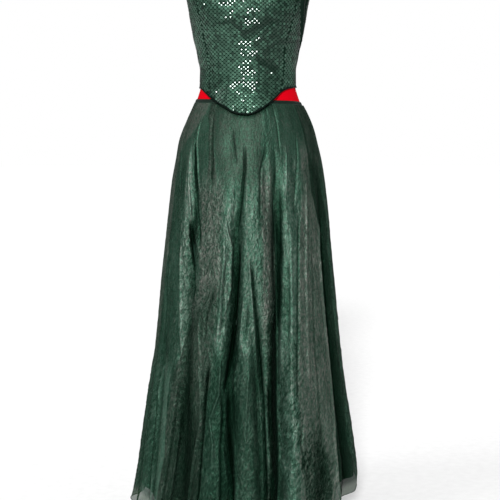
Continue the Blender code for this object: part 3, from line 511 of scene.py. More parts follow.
# How the organza's crushing, hem and gathers, and the lining's ripple, grow with the height.
CRUSH_LEAST = 0.08
CRUSH_START_Z = 0.95
CRUSH_BLEND = 0.30
CRUSH_PATCHY = 0.40
HEM_WAVE_HEIGHT = 0.0035
HEM_WAVE_TOP_Z = 0.16
GATHER_HEIGHT = 0.0006
GATHER_START_Z = 0.98
GATHER_BLEND = 0.06
RIPPLE_HEIGHT = 0.0007
RIPPLE_START_Z = 1.04
RIPPLE_BLEND = 0.1
SET_BACK_BLEND = 0.30
DRAG_END = 0.15


def soft_noise(turn, rise, cells_round, cell_height, seed, lean=0.0):
    """Smooth noise from -1 to 1; its cells fit a whole number of times round the body."""
    table = np.random.default_rng(seed).uniform(-1.0, 1.0, (NOISE_ROWS, cells_round))
    up = np.asarray(rise, dtype=float) / cell_height
    across = np.asarray(turn, dtype=float) / 360.0 * cells_round + lean * up
    column = np.floor(across).astype(int)
    row = np.floor(up).astype(int)
    right = smooth_step(across - column)
    lines = []
    for step in (0, 1):
        here, beside = (table[(row + step) % NOISE_ROWS, (column + side) % cells_round] for side in (0, 1))
        lines.append(here + right * (beside - here))
    return lines[0] + smooth_step(up - row) * (lines[1] - lines[0])


def section_point(table, angle, z, middle=0.0):
    """Point on a body's section at a height."""
    angle, z = np.broadcast_arrays(np.asarray(angle, dtype=float), np.asarray(z, dtype=float))
    turn = np.radians(angle)
    depth = np.where(np.cos(turn) > 0, table["front"](z), table["back"](z))
    return np.stack((table["half_width"](z) * np.sin(turn) + middle, -depth * np.cos(turn), z), axis=-1)


def form_surface(angle, z):
    """Surface of the dress form, with its bust."""
    point = section_point(FORM, angle, z)
    height = BUST_HEIGHT * bell(z - BUST_Z, BUST_Z_SPREAD)
    point[..., 1] -= height * bell(np.abs(wrapped(angle)) - BUST_ANGLE, BUST_ANGLE_SPREAD)
    return point


def normal_at(surface, angle, z, turn=0.4, rise=0.002):
    """Outward direction of a surface, from points a little way to each side."""
    across = surface(angle + turn, z) - surface(angle - turn, z)
    along = surface(angle, z + rise) - surface(angle, z - rise)
    return unit(np.cross(across, along))


def drag_fold(angle, z):
    """Depth of the bodice's drag folds."""
    radius = FORM["half_width"](z)
    total = 0.0
    for angle_from, z_from, angle_to, z_to, depth, width in DRAG_FOLDS:
        across = np.radians(angle_to) * radius - np.radians(angle_from) * radius
        rise = z_to - z_from
        place = np.radians(angle) * radius - np.radians(angle_from) * radius
        along = (place * across + (z - z_from) * rise) / (across ** 2 + rise ** 2)
        away = np.hypot(place - along * across, z - z_from - along * rise)
        ends = smooth_step((along + DRAG_END) / (2 * DRAG_END))
        ends = ends * smooth_step((1.0 + DRAG_END - along) / (2 * DRAG_END))
        total = total + depth * bell(away, width) * ends
    return total


def bodice_stand_off(angle, z):
    """Distance from the form to the inside of the bodice's wall."""
    side = np.abs(wrapped(angle))
    ease = FRONT_EASE * smooth_step((FRONT_EASE_EDGE - side) / FRONT_EASE_BLEND)
    ease = ease * smooth_step((FRONT_EASE_TOP_Z - z) / FRONT_EASE_TOP_BLEND)
    below = smooth_step((BASQUE_LIFT_TOP_Z - z) / (BASQUE_LIFT_TOP_Z - BASQUE_LIFT_END_Z))
    lift = BASQUE_LIFT * below * smooth_step((BASQUE_LIFT_EDGE - side) / BASQUE_LIFT_BLEND)
    return BODICE_CLEARANCE + ease + lift - drag_fold(angle, z) * ease / FRONT_EASE


def over_form(offset):
    """Surface at a distance over the dress form."""
    return lambda angle, z: form_surface(angle, z) + normal_at(form_surface, angle, z) * offset


def bodice_layer(height):
    """The bodice's cloth at a height over the inside of its wall, with its slight unevenness."""
    def surface(angle, z):
        uneven = sum(size * soft_noise(angle, z, *cells) for size, *cells in UNEVEN)
        away = bodice_stand_off(angle, z) + height + uneven
        return form_surface(angle, z) + normal_at(form_surface, angle, z) * away[..., None]
    return surface


def fold_depth(angle, z):
    """How deep the skirt's main folds are."""
    upper = np.clip((z - KNEE_Z) / (HIP_Z - KNEE_Z), 0.0, 1.0)
    lower = np.clip((KNEE_Z - z) / (KNEE_Z - HEM_Z), 0.0, 1.0)
    total = 0.0
    for hip, knee, hem, start, full, end, depth, width in FOLDS:
        middle = knee + upper * (hip - knee) + lower * (hem - knee)
        grown = smooth_step((start - z) / (start - full))
        faded = smooth_step((z - end) / FOLD_FADE)
        total = total + depth * grown * faded * bell(wrapped(angle - middle), width)
    return total


def skirt_crest(angle, z):
    """The skirt without its folds."""
    return section_point(SKIRT, angle, z, SKIRT["middle"](z))


def sunk(point, angle, depth):
    """A point moved towards the body's axis."""
    turn = np.radians(angle)
    inward = np.stack(np.broadcast_arrays(-np.sin(turn), np.cos(turn), 0.0 * turn), axis=-1)
    return point + inward * np.asarray(depth)[..., None]


def skirt_top(angle):
    """Upper edge of the skirt's cloth, just under the band."""
    return band_top(angle) - BAND_HEIGHT - SEAM_GAP


def organza_hem(angle):
    """The organza's hem as it shows."""
    return skirt_hem(angle) + hem_tips(angle)


def lining_hem(angle):
    """The lining's hem as it shows, shortest at the wearer's right front."""
    rise = LINING_RISE * bell(wrapped(angle) - LINING_RISE_ANGLE, LINING_RISE_WIDTH)
    return organza_hem(angle) + LINING_SHORTER + rise


def organza_outer(angle, z):
    """Outside of the organza's solid."""
    return sunk(skirt_crest(angle, z), angle, fold_depth(angle, z))


def lining_outer(angle, z):
    """Outside of the lining's solid, clear of the organza's folds all round."""
    turns = (-LINING_REACH_ANGLE, 0.0, LINING_REACH_ANGLE)
    rises = (-LINING_REACH_Z, 0.0, LINING_REACH_Z)
    deepest = np.max([fold_depth(angle + turn, z + rise) for turn in turns for rise in rises], axis=0)
    free = smooth_step((skirt_top(angle) - z) / LINING_GAP_BLEND)
    gap = LINING_GAP_TOP + (LINING_GAP - LINING_GAP_TOP) * free
    return sunk(skirt_crest(angle, z), angle, deepest + ORGANZA_WALL + gap)


def pattern_angle(angle):
    """Angle in the front's pattern of creases. The back's pattern is the same one, turned round."""
    angle = wrapped(angle)
    return np.where(np.abs(angle) > 90.0, wrapped(angle + BACK_TURN), angle)


def line_share(heights, z, fade):
    """How much of a line there is at a height: it fades at its ends, but not at the waist or the hem."""
    low = -1.0 if heights[0] < LINE_FOOT else heights[0]
    high = 2.0 if heights[-1] > LINE_TOP else heights[-1]
    return smooth_step((z - low) / fade + 0.5) * smooth_step((high - z) / fade + 0.5)


def from_below(line):
    """Columns of a line whose rows run from the top down, turned to run up."""
    return (np.array(column)[::-1] for column in zip(*line))


def crease_height(angle, z):
    """Height of the listed creases."""
    turn = pattern_angle(angle)
    total = 0.0
    for height, left, right, line in CREASES:
        heights, middles = from_below(line)
        across = np.radians(turn - np.interp(z, heights, middles)) * CREASE_RADIUS
        width = np.where(across < 0.0, left, right)
        total = total + height * bell(across, width) * line_share(heights, z, CREASE_FADE)
    return 0.001 * total


def crinkle_height(angle, z):
    """Crushed pleats of the organza: upright creases crossed by short leaning ones."""
    strong = CRUSH_LEAST + (1.0 - CRUSH_LEAST) * smooth_step((CRUSH_START_Z - z) / CRUSH_BLEND)
    patchy = 1.0 - CRUSH_PATCHY + CRUSH_PATCHY * soft_noise(angle, z, *NOISES["crush_patches"])
    total = 0.0
    for cells, cell_height, seed, lean, sharpness, height in PLEATS:
        noise = soft_noise(angle, z, cells, cell_height, seed, lean)
        total = total + (1.0 - np.abs(noise)) ** sharpness * height
    return total * strong * patchy - PLEAT_MIDDLE * strong


def organza_cloth(angle, z):
    """The organza as it shows: the CAD's surface with its creases, crushed pleats and uneven hem."""
    hem_wave = HEM_WAVE_HEIGHT * soft_noise(angle, z, *NOISES["hem_wave"])
    hem_wave = hem_wave * smooth_step((HEM_WAVE_TOP_Z - z) / HEM_WAVE_TOP_Z)
    gathers = GATHER_HEIGHT * soft_noise(angle, z, *NOISES["gathers"])
    gathers = gathers * smooth_step((z - GATHER_START_Z) / GATHER_BLEND)
    height = crease_height(angle, z) + crinkle_height(angle, z) + hem_wave + gathers - ORGANZA_WALL / 2
    return organza_outer(angle, z) + normal_at(organza_outer, angle, z) * height[..., None]


def lining_cloth(angle, z):
    """The lining as it shows: set back a little more, with a soft ripple."""
    ripple = RIPPLE_HEIGHT * soft_noise(angle, z, *NOISES["lining_ripple"])
    ripple = ripple * smooth_step((RIPPLE_START_Z - z) / RIPPLE_BLEND)
    back = LINING_SET_BACK * smooth_step((skirt_top(angle) - z) / SET_BACK_BLEND)
    return sunk(lining_outer(angle, z), angle, LINING_WALL / 2 + back - ripple)


def cloth_zone(angle, z):
    """Taupe share, painted light and shade, and crushing of the shot cloth at a place."""
    coarse, fine, rise = (
        soft_noise(angle, z, *NOISES[name]) for name in ("zone_coarse", "zone_edge", "zone_height")
    )
    turn = pattern_angle(angle) + (fine * ZONE_WAVE + coarse * ZONE_WAVE)
    height = z + ZONE_COARSE_RISE * coarse + ZONE_FINE_RISE * rise
    taupe = np.full(np.shape(angle), PLAIN_TAUPE)
    painted_shading = np.full(np.shape(angle), PLAIN_PAINTED_SHADING)
    crush = 0.28 + 0.62 * smooth_step((0.96 - z) / 0.24) + 0.30 * smooth_step((0.46 - z) / 0.12)
    for share, light, crushed, soft, outline in CLOTH_ZONES:
        heights, starts, ends = from_below(outline)
        weight = smooth_step((turn - np.interp(z, heights, starts)) / soft + 0.5)
        weight = weight * smooth_step((np.interp(z, heights, ends) - turn) / soft + 0.5)
        weight = weight * line_share(heights, height, ZONE_FADE)
        taupe = taupe + (share - taupe) * weight
        painted_shading = painted_shading + (light - painted_shading) * weight
        crush = crush + (crushed - crush) * weight
    # Painted shadow on the skirt just under the bodice's hem.
    below = np.maximum(bodice_hem(angle) - z, 0.0)
    painted_shading = painted_shading * (1.0 - BASQUE_SHADE * bell(below, BASQUE_SHADE_REACH))
    # Painted shade in the folds' hollows, shifted aside at one fold.
    aside = HOLLOW_ASIDE * bell(turn - 20.0, 9.0) * smooth_step((0.62 - z) / 0.2)
    hollow = smooth_step(fold_depth(angle + aside, z) / HOLLOW_DEPTH)
    # Painted shade in the creases' troughs and painted highlight on their ridges.
    crease = crease_height(angle, z) / CREASE_DEEP
    painted_shading = painted_shading * (1.0 - HOLLOW_SHADE * hollow) * (1.0 - CREASE_SHADE * np.clip(-crease, 0.0, 1.0))
    return taupe, painted_shading * (1.0 + CREASE_SHINE * np.clip(crease, 0.0, 1.0)), crush


def leaning_share(angle, z):
    """How far the crushed strokes lean at a place, instead of standing upright."""
    turn = pattern_angle(angle)
    share = 0.0
    for middle, width, height, reach, part in LEANING:
        share = share + part * bell(turn - middle, width) * bell(z - height, reach)
    return np.clip(share, 0.0, 1.0)


def lay_out(edges, bottom, top, columns, rows, first_z=1.2):
    """Angle and height of a panel's points, in rows from its lower edge up."""
    across = np.linspace(0.0, 1.0, columns + 1)[None, :]
    share = np.linspace(0.0, 1.0, rows + 1)[:, None]
    z = np.full((rows + 1, columns + 1), first_z)
    for _ in range(8):
        start, end = (edge(z) for edge in edges)
        angle = start + across * (end - start)
        z = bottom(angle) + share * (top(angle) - bottom(angle))
    return angle, z


def moved_edge(edge, surface, distance):
    """A seam line moved sideways along a surface."""
    def moved(z):
        angle = edge(z)
        across = surface(angle + 0.5, z) - surface(angle - 0.5, z)
        return angle + distance / np.linalg.norm(across, axis=-1)
    return moved


def seam_edges(start, end, surface):
    """Both edges of a panel, half a seam's gap inside its seam lines."""
    return moved_edge(start, surface, SEAM_GAP / 2), moved_edge(end, surface, -SEAM_GAP / 2)


def always(value):
    """Function that has one value everywhere, for an edge at one angle or at one height."""
    return lambda place: np.full(np.shape(place), float(value))


def path_length(points, axis=0):
    """Distance along a path, or along each line of a grid, up to each point."""
    steps = np.linalg.norm(np.diff(points, axis=axis), axis=-1)
    return np.insert(np.cumsum(steps, axis=axis), 0, 0.0, axis=axis)


def grid_quads(rows, columns, around=False):
    """Faces of a grid of points that is stored row after row."""
    low = np.arange(rows - 1)[:, None] * columns
    here = np.arange(columns if around else columns - 1)[None, :]
    beside = (here + 1) % columns
    corners = (low + here, low + beside, low + columns + beside, low + columns + here)
    return np.stack(corners, axis=-1).reshape(-1, 4)


def grid_normals(grid):
    """Directions at right angles to a grid of points."""
    return unit(np.cross(np.gradient(grid, axis=1), np.gradient(grid, axis=0)))


def make_mesh(name, points, faces, smooth=True):
    """A mesh from points and faces."""
    mesh = bpy.data.meshes.new(name)
    mesh.from_pydata(np.asarray(points).reshape(-1, 3).tolist(), [], [list(face) for face in faces])
    mesh.update()
    if smooth:
        mesh.shade_smooth()
    return mesh


def add_values(mesh, name, values):
    """Stores a number for each point of a mesh."""
    mesh.attributes.new(name, "FLOAT", "POINT").data.foreach_set("value", np.ravel(values))


def add_cloth_place(mesh, grid, sides=1):
    """Stores each point's place on the flat cloth: across and along it, in metres."""
    flat = np.zeros(grid.shape)
    flat[..., 0] = path_length(grid, 1)
    flat[..., 0] -= flat[:, -1:, 0] / 2
    flat[..., 1] = path_length(grid)
    places = np.tile(flat.ravel(), sides)
    mesh.attributes.new("cloth", "FLOAT_VECTOR", "POINT").data.foreach_set("vector", places)


def link(item):
    """Puts a new object into the scene."""
    bpy.context.collection.objects.link(item)
    return item


def add_piece(name, mesh, finish, replaces=()):
    """A finished piece of the costume, which takes the place of the named solids."""
    piece = link(bpy.data.objects.new(name, mesh))
    mesh.materials.append(finish)
    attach(piece, COSTUME)
    if replaces:
        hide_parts(*replaces)
    return piece


def wall_mesh(name, outer, inner, around=False):
    """Closed thin shell between two grids of points."""
    rows, columns = outer.shape[:2]
    count = rows * columns
    skin = grid_quads(rows, columns, around)
    steps = np.arange(columns if around else columns - 1)
    beside = (steps + 1) % columns
    faces = [
        skin,
        skin[:, ::-1] + count,
        np.stack((beside, steps, steps + count, beside + count), axis=-1),
        np.stack((steps, beside, beside + count, steps + count), axis=-1) + (rows - 1) * columns,
    ]
    if not around:
        low = np.arange(rows - 1) * columns
        high = low + columns
        faces.append(np.stack((low, high, high + count, low + count), axis=-1))
        faces.append(np.stack((high, low, low + count, high + count), axis=-1) + columns - 1)
    mesh = make_mesh(name, np.stack((outer, inner)), np.concatenate(faces))
    add_cloth_place(mesh, outer, 2)
    return mesh


def tube_points(path, radius, sides, flatten=None):
    """Rings of points round a path. flatten gives the outward direction to press the tube along."""
    ahead = unit(np.gradient(path, axis=0))
    if flatten is None:
        out = unit(np.cross(ahead, UP) + 1e-9)
        press = 1.0
    else:
        out = unit(flatten - ahead * np.sum(flatten * ahead, axis=-1, keepdims=True))
        press = 0.5
    across = np.cross(ahead, out)
    turns = (np.arange(sides) * math.tau / sides)[:, None]
    ring = out[:, None] * (np.cos(turns) * press) + across[:, None] * np.sin(turns)
    return path[:, None] + ring * radius


def tube_mesh(name, tubes):
    """One mesh of several tubes with closed ends."""
    faces = []
    count = 0
    for rings in tubes:
        rows, sides = rings.shape[:2]
        faces += (grid_quads(rows, sides, True) + count).tolist()
        faces.append((np.arange(sides)[::-1] + count).tolist())
        faces.append((np.arange(sides) + count + (rows - 1) * sides).tolist())
        count += rows * sides
    return make_mesh(name, np.concatenate([rings.reshape(-1, 3) for rings in tubes]), faces)


STITCH_LENGTH = 0.0024
STITCH_GAP = 0.0010
STITCH_RADIUS = 0.00018


def stitch_tubes(path, outward):
    """Running stitches along a path, each a short thread that dips at both ends."""
    reach = path_length(path)
    tubes = []
    for start in np.arange(STITCH_GAP, reach[-1] - STITCH_LENGTH, STITCH_LENGTH + STITCH_GAP):
        places = start + STITCH_LENGTH * np.array([0.0, 0.2, 0.5, 0.8, 1.0])
        line, out = (
            np.stack([np.interp(places, reach, source[:, axis]) for axis in range(3)], axis=-1)
            for source in (path, outward)
        )
        line = line + out * (STITCH_RADIUS * np.array([-0.6, 0.6, 0.9, 0.6, -0.6]))[:, None]
        tubes.append(tube_points(line, STITCH_RADIUS, 4, out))
    return tubes


class Nodes:
    """Short way to wire a material's nodes."""

    def __init__(self, name, colour):
        self.material = bpy.data.materials.new(name)
        self.material.use_nodes = True
        self.material.diffuse_color = (*colour, 1.0)
        self.tree = self.material.node_tree
        self.shader = self.tree.nodes["Principled BSDF"]

    def add(self, kind, inputs=None, **settings):
        node = self.tree.nodes.new("ShaderNode" + kind)
        for key, value in settings.items():
            setattr(node, key, value)
        for key, value in (inputs or {}).items():
            self.put(node.inputs[key], value)
        return node

    def put(self, socket, value):
        if isinstance(value, bpy.types.NodeSocket):
            self.tree.links.new(value, socket)
        else:
            socket.default_value = value

    def set(self, **values):
        for key, value in values.items():
            self.put(self.shader.inputs[key.replace("_", " ")], value)

    def attribute(self, name, output="Fac"):
        return self.add("Attribute", attribute_name=name).outputs[output]

    def own(self):
        return self.add("TexCoord").outputs["Object"]

    def place(self, source, scale, turn=0.0):
        """A source of coordinates, turned and then stretched by a scale for each axis."""
        if turn:
            turned = {"Vector": source, "Rotation": (0.0, 0.0, math.radians(turn))}
            source = self.add("Mapping", turned).outputs["Vector"]
        return self.add("Mapping", {"Vector": source, "Scale": scale}).outputs["Vector"]

    def noise(self, vector, scale, detail=3.0, roughness=0.55, more=(), **settings):
        values = {"Vector": vector, "Scale": scale, "Detail": detail, "Roughness": roughness, **dict(more)}
        return self.add("TexNoise", values, **settings).outputs["Fac"]

    def cloth_noise(self, across, along, detail=3.0, roughness=0.55, turn=0.0, more=(), **settings):
        """Noise on the flat cloth, with its scale across and along it."""
        place = self.place(self.attribute("cloth", "Vector"), (across, along, 1.0), turn)
        return self.noise(place, 1.0, detail, roughness, more, **settings)

    def threads(self, scale):
        """Waves of the threads that run along the cloth and across it."""
        values = {"Vector": self.attribute("cloth", "Vector"), "Scale": scale}
        return [self.add("TexWave", values, bands_direction=way).outputs["Fac"] for way in "XY"]

    def math(self, operation, value, *others):
        for other in others:
            value = self.add("Math", {0: value, 1: other}, operation=operation).outputs[0]
        return value

    def plus(self, *values):
        return self.math("ADD", *values)

    def times(self, *values):
        return self.math("MULTIPLY", *values)

    def span(self, value, out_low, out_high, low=0.3, high=0.7):
        values = {"Value": value, "From Min": low, "From Max": high, "To Min": out_low, "To Max": out_high}
        return self.add("MapRange", values).outputs["Result"]

    def mix(self, share, first, second, blend="MIX"):
        node = self.add("Mix", data_type="RGBA", blend_type=blend)
        for index, value in ((0, share), (6, first), (7, second)):
            if isinstance(value, tuple) and len(value) == 3:
                value = (*value, 1.0)
            self.put(node.inputs[index], value)
        return node.outputs[2]

    def bump(self, height, strength, distance, normal=None):
        values = {"Height": height, "Strength": strength, "Distance": distance}
        if normal is not None:
            values["Normal"] = normal
        return self.add("Bump", values).outputs["Normal"]


GREEN_THREAD = (0.030, 0.070, 0.048)
TAUPE_THREAD = (0.050, 0.062, 0.051)
SHEER_THREAD = (0.034, 0.072, 0.036)


def make_organza_material():
    """Sheer shot organza: green one way, taupe the other, with a fine crushed grain and painted light and
    shade.
    """
    n = Nodes("organza_shot", GREEN_THREAD)
    crush, sheer = (n.attribute(name) for name in ("crush", "sheer"))
    flecks = n.cloth_noise(220.0, 110.0, 2.0, 0.6)
    streaks = n.cloth_noise(115.0, 17.0)
    grain = n.cloth_noise(300.0, 260.0, 1.0, 0.5)
    strokes = n.cloth_noise(150.0, 38.0, 3.0, 0.6, 41.0)
    patches = n.cloth_noise(30.0, 10.0)
    ridged = {"noise_type": "RIDGED_MULTIFRACTAL", "normalize": False}
    more = {"Offset": 1.0, "Gain": 1.2, "Distortion": 0.9}
    crinkle = n.cloth_noise(88.0, 42.0, 2.0, 0.5, 22.0, more, **ridged)
    share = n.plus(n.attribute("taupe"), n.span(flecks, -0.35, 0.35), n.span(streaks, -0.20, 0.20))
    colour = n.mix(n.span(share, 0.0, 1.0, 0.0, 1.0), GREEN_THREAD, TAUPE_THREAD)
    # Painted light and shade: the zones' painted factor, and the streaks, strokes and crushed flecks painted
    # lighter and darker the way lit crinkles look, over random patches and grain.
    streaked = n.times(n.span(streaks, -0.10, 0.10, 0.35, 0.65), crush)
    stroked = n.times(n.span(strokes, -0.56, 0.62, 0.36, 0.64), n.attribute("lean"))
    crushed = n.plus(n.span(flecks, -0.22, 0.24, 0.36, 0.64), n.span(crinkle, -0.22, 0.46, 0.9, 1.9))
    crushed = n.times(crushed, crush)
    light = n.times(n.attribute("painted_shading"), n.span(patches, 0.82, 1.18, 0.35, 0.65))
    light = n.times(light, n.span(grain, 0.86, 1.14, 0.35, 0.65), n.plus(streaked, 1.0))
    light = n.math("MAXIMUM", n.times(light, n.plus(stroked, 1.0), n.plus(crushed, 1.0)), 0.04)
    # Painted light also warms the lit parts and deepens the green of the shaded ones.
    channels = {"Red": n.math("POWER", light, 1.30), "Green": light, "Blue": n.math("POWER", light, 1.12)}
    colour = n.mix(1.0, colour, n.add("CombineColor", channels).outputs["Color"], "MULTIPLY")
    colour = n.mix(n.times(sheer, 0.7), colour, SHEER_THREAD)
    weave = n.plus(*n.threads(420.0))
    normal = n.bump(flecks, 0.55, 0.0020)
    normal = n.bump(n.times(crinkle, crush), 0.50, 0.0014, normal)
    normal = n.bump(weave, 0.10, 0.0002, normal)
    n.set(Base_Color=colour, Normal=normal, Roughness=n.span(flecks, 0.36, 0.50), Metallic=0.5)
    n.set(Alpha=n.math("SUBTRACT", n.span(weave, 0.86, 0.97, 0.0, 2.0), n.times(sheer, 0.15)))
    n.set(Specular_IOR_Level=0.0, Specular_Tint=(0.10, 0.16, 0.12, 1.0))
    n.set(Sheen_Weight=0.01, Sheen_Roughness=0.35, Sheen_Tint=(0.75, 0.85, 0.78, 1.0))
    return n.material


def scaled(colour, share):
    """A colour made darker or lighter."""
    return tuple(value * share for value in colour)


def make_cloth_material(name, colour, roughness, thread_scale, sheen, bump, gloss=0.15, patch=0.15):
    """Plain woven or knitted cloth: fine weave, slight patches, soft sheen."""
    n = Nodes(name, colour)
    patches = n.cloth_noise(30.0, 18.0, 4.0)
    weave = n.times(*n.threads(thread_scale))
    fuzz = n.cloth_noise(900.0, 900.0, 2.0)
    base = n.mix(n.span(patches, 0.0, 1.0), scaled(colour, 1.0 - patch), scaled(colour, 1.0 + patch))
    thread = n.mix(n.span(weave, 0.35, 0.0, 0.0, 1.0), base, scaled(colour, 0.6))
    n.set(Base_Color=thread, Roughness=n.span(fuzz, roughness - 0.06, roughness + 0.06))
    n.set(Normal=n.bump(n.plus(weave, n.times(fuzz, 0.5)), bump, 0.0004))
    n.set(Sheen_Weight=sheen, Sheen_Roughness=0.5, Specular_IOR_Level=gloss)
    return n.material


def make_sequin_material():
    """Thin green film, dark or light from sequin to sequin, partly at random and partly painted shade."""
    n = Nodes("sequin_film", (0.05, 0.13, 0.085))
    film = n.noise(n.own(), 260.0, 2.0)
    colour = n.mix(n.attribute("tint_and_shade"), (0.006, 0.020, 0.013), (0.072, 0.168, 0.115))
    colour = n.mix(n.span(film, 0.0, 0.30), colour, (0.060, 0.100, 0.076))
    n.set(Base_Color=colour, Metallic=0.45, Roughness=n.span(film, 0.30, 0.42))
    n.set(Specular_IOR_Level=0.2, Specular_Tint=(0.22, 0.26, 0.22, 1.0))
    n.set(Normal=n.bump(film, 0.06, 0.0002), Coat_Weight=0.30, Coat_Roughness=0.12)
    return n.material


def make_metal_material(name, colour, roughness, metallic, grain, bump):
    """Brushed metal, or paint on metal, a little worn."""
    n = Nodes(name, colour)
    own = n.own()
    brushed = n.noise(n.place(own, grain), 1.0, 5.0, 0.65)
    worn = n.noise(own, 60.0, 4.0)
    n.set(Base_Color=n.mix(n.span(worn, 0.0, 1.0, 0.35, 0.65), scaled(colour, 0.75), colour))
    n.set(Roughness=n.span(brushed, roughness - 0.08, roughness + 0.08), Metallic=metallic)
    n.set(Normal=n.bump(brushed, bump, 0.0003))
    return n.material


def make_wood_material():
    """Dark varnished wood with rings and pores."""
    n = Nodes("cap_wood", (0.06, 0.03, 0.016))
    own = n.own()
    rings = n.add("TexWave", {"Vector": own, "Scale": 34.0, "Distortion": 5.0, "Detail": 3.0}).outputs["Fac"]
    pores = n.noise(n.place(own, (600.0, 90.0, 600.0)), 1.0)
    colour = n.mix(rings, (0.036, 0.017, 0.009), (0.090, 0.045, 0.023))
    colour = n.mix(n.span(pores, 0.0, 0.5, 0.4, 0.6), colour, (0.020, 0.010, 0.006))
    n.set(Base_Color=colour, Roughness=n.span(pores, 0.28, 0.45), Coat_Weight=0.3, Coat_Roughness=0.2)
    n.set(Normal=n.bump(pores, 0.15, 0.0004))
    return n.material


SEQUIN_SPACING = 0.0108
SEQUIN_ROW = 0.0047
SEQUIN_RADIUS = 0.00345
SEQUIN_HUB = 0.0006
SEQUIN_FLAT = 0.0016
SEQUIN_RISE = 0.00016
SEQUIN_LIT_RISE = 0.00060
SEQUIN_LIT_LOOSENESS = 0.35
SEQUIN_SIDES = 10
SEQUIN_TILT = 0.040
SEQUIN_JITTER = 0.00022
SEQUIN_EDGE = 0.0022
SEAM_BARE = 0.0014
# The wide bare strip before the zip shows the dark ground cloth, and stands partly for the shade in the
# valley at the side seam.
ZIP_BARE_FRONT = 0.0200
ZIP_BARE_BACK = 0.0020
PANEL_HEIGHTS = np.linspace(1.03, 1.43, 500)
PANEL_REACH = 105.0

# The key and the back light: azimuth, from the front towards the wearer's left, and elevation.
KEY_LIGHT = (-6.0, 22.0)
BACK_LIGHT = (165.0, 52.0)

# Where the sequins in front and behind are seen from, for those that catch the light, and how far the
# others are turned off it.
SEEN_FROM = ((0.0, -3.2, 1.0), (0.0, 3.2, 1.0))
GLINT_OFF = 0.17

# Patches where sequins catch the light: angle, height, half their size in both, share of sequins.
GLINTS = (
    (-22.9, 1.3038, 9.3, 0.0083, 0.75),
    (-5.2, 1.3083, 3.0, 0.0040, 0.70),
    (-16.8, 1.2858, 4.0, 0.0040, 0.60),
    (-21.9, 1.2753, 3.5, 0.0068, 0.60),
    (3.0, 1.2865, 9.8, 0.0075, 0.72),
    (3.9, 1.2603, 8.9, 0.0098, 0.75),
    (11.7, 1.2205, 2.6, 0.0050, 0.75),
    (-4.3, 1.2085, 10.3, 0.0075, 0.72),
    (0.0, 1.1860, 13.7, 0.0090, 0.80),
    (-3.7, 1.1650, 7.8, 0.0060, 0.50),
    (-2.0, 1.1425, 10.8, 0.0150, 0.80),
    (-17.8, 1.1088, 8.0, 0.0128, 0.60),
    (-3.9, 1.1118, 7.0, 0.0128, 0.75),
    (9.2, 1.1088, 7.5, 0.0158, 0.68),
    (-16.4, 1.0885, 11.1, 0.0045, 0.45),
    (-4.4, 1.0750, 7.9, 0.0075, 0.30),
    (31.4, 1.1358, 6.0, 0.0055, 0.70),
    (-44.1, 1.0930, 3.8, 0.0120, 0.50),
    (-48.1, 1.3038, 3.2, 0.0045, 0.70),
    (174.0, 1.2600, 10.0, 0.0120, 0.75),
    (184.0, 1.1900, 11.0, 0.0150, 0.75),
    (178.0, 1.1200, 14.0, 0.0120, 0.60),
)


def glint_share(points):
    """Share of the sequins at some places that face the light."""
    turn = np.degrees(np.arctan2(points[:, 0], -points[:, 1]))
    share = np.zeros(len(points))
    for angle, z, half_width, half_height, part in GLINTS:
        away = np.hypot(wrapped(turn - angle) / half_width, (points[:, 2] - z) / half_height)
        share = np.maximum(share, part * smooth_step((1.25 - away) / 0.5))
    return share


def toward(azimuth, elevation):
    """Direction to a light."""
    turn = math.radians(azimuth)
    rise = math.radians(elevation)
    return np.array((math.sin(turn) * math.cos(rise), -math.cos(turn) * math.cos(rise), math.sin(rise)))


def faced_normals(points, normals, draw):
    """Ways the sequins face: some into the light, the rest clear of it. Also says which ones catch it."""
    sights = zip(SEEN_FROM, (KEY_LIGHT, BACK_LIGHT))
    halves = [unit(unit(np.array(eye) - points) + toward(*light)) for eye, light in sights]
    glint = np.where(points[:, 1:2] < 0.0, *halves)
    near = np.sum(normals * glint, axis=-1, keepdims=True)
    aside = unit(normals - glint * near + 1e-6)
    turned = glint * math.cos(GLINT_OFF) + aside * math.sin(GLINT_OFF)
    clear = np.where(near > math.cos(GLINT_OFF), turned, normals)
    caught = (draw.uniform(0.0, 1.0, len(points)) < glint_share(points))[:, None]
    return unit(np.where(caught, glint, clear)), caught


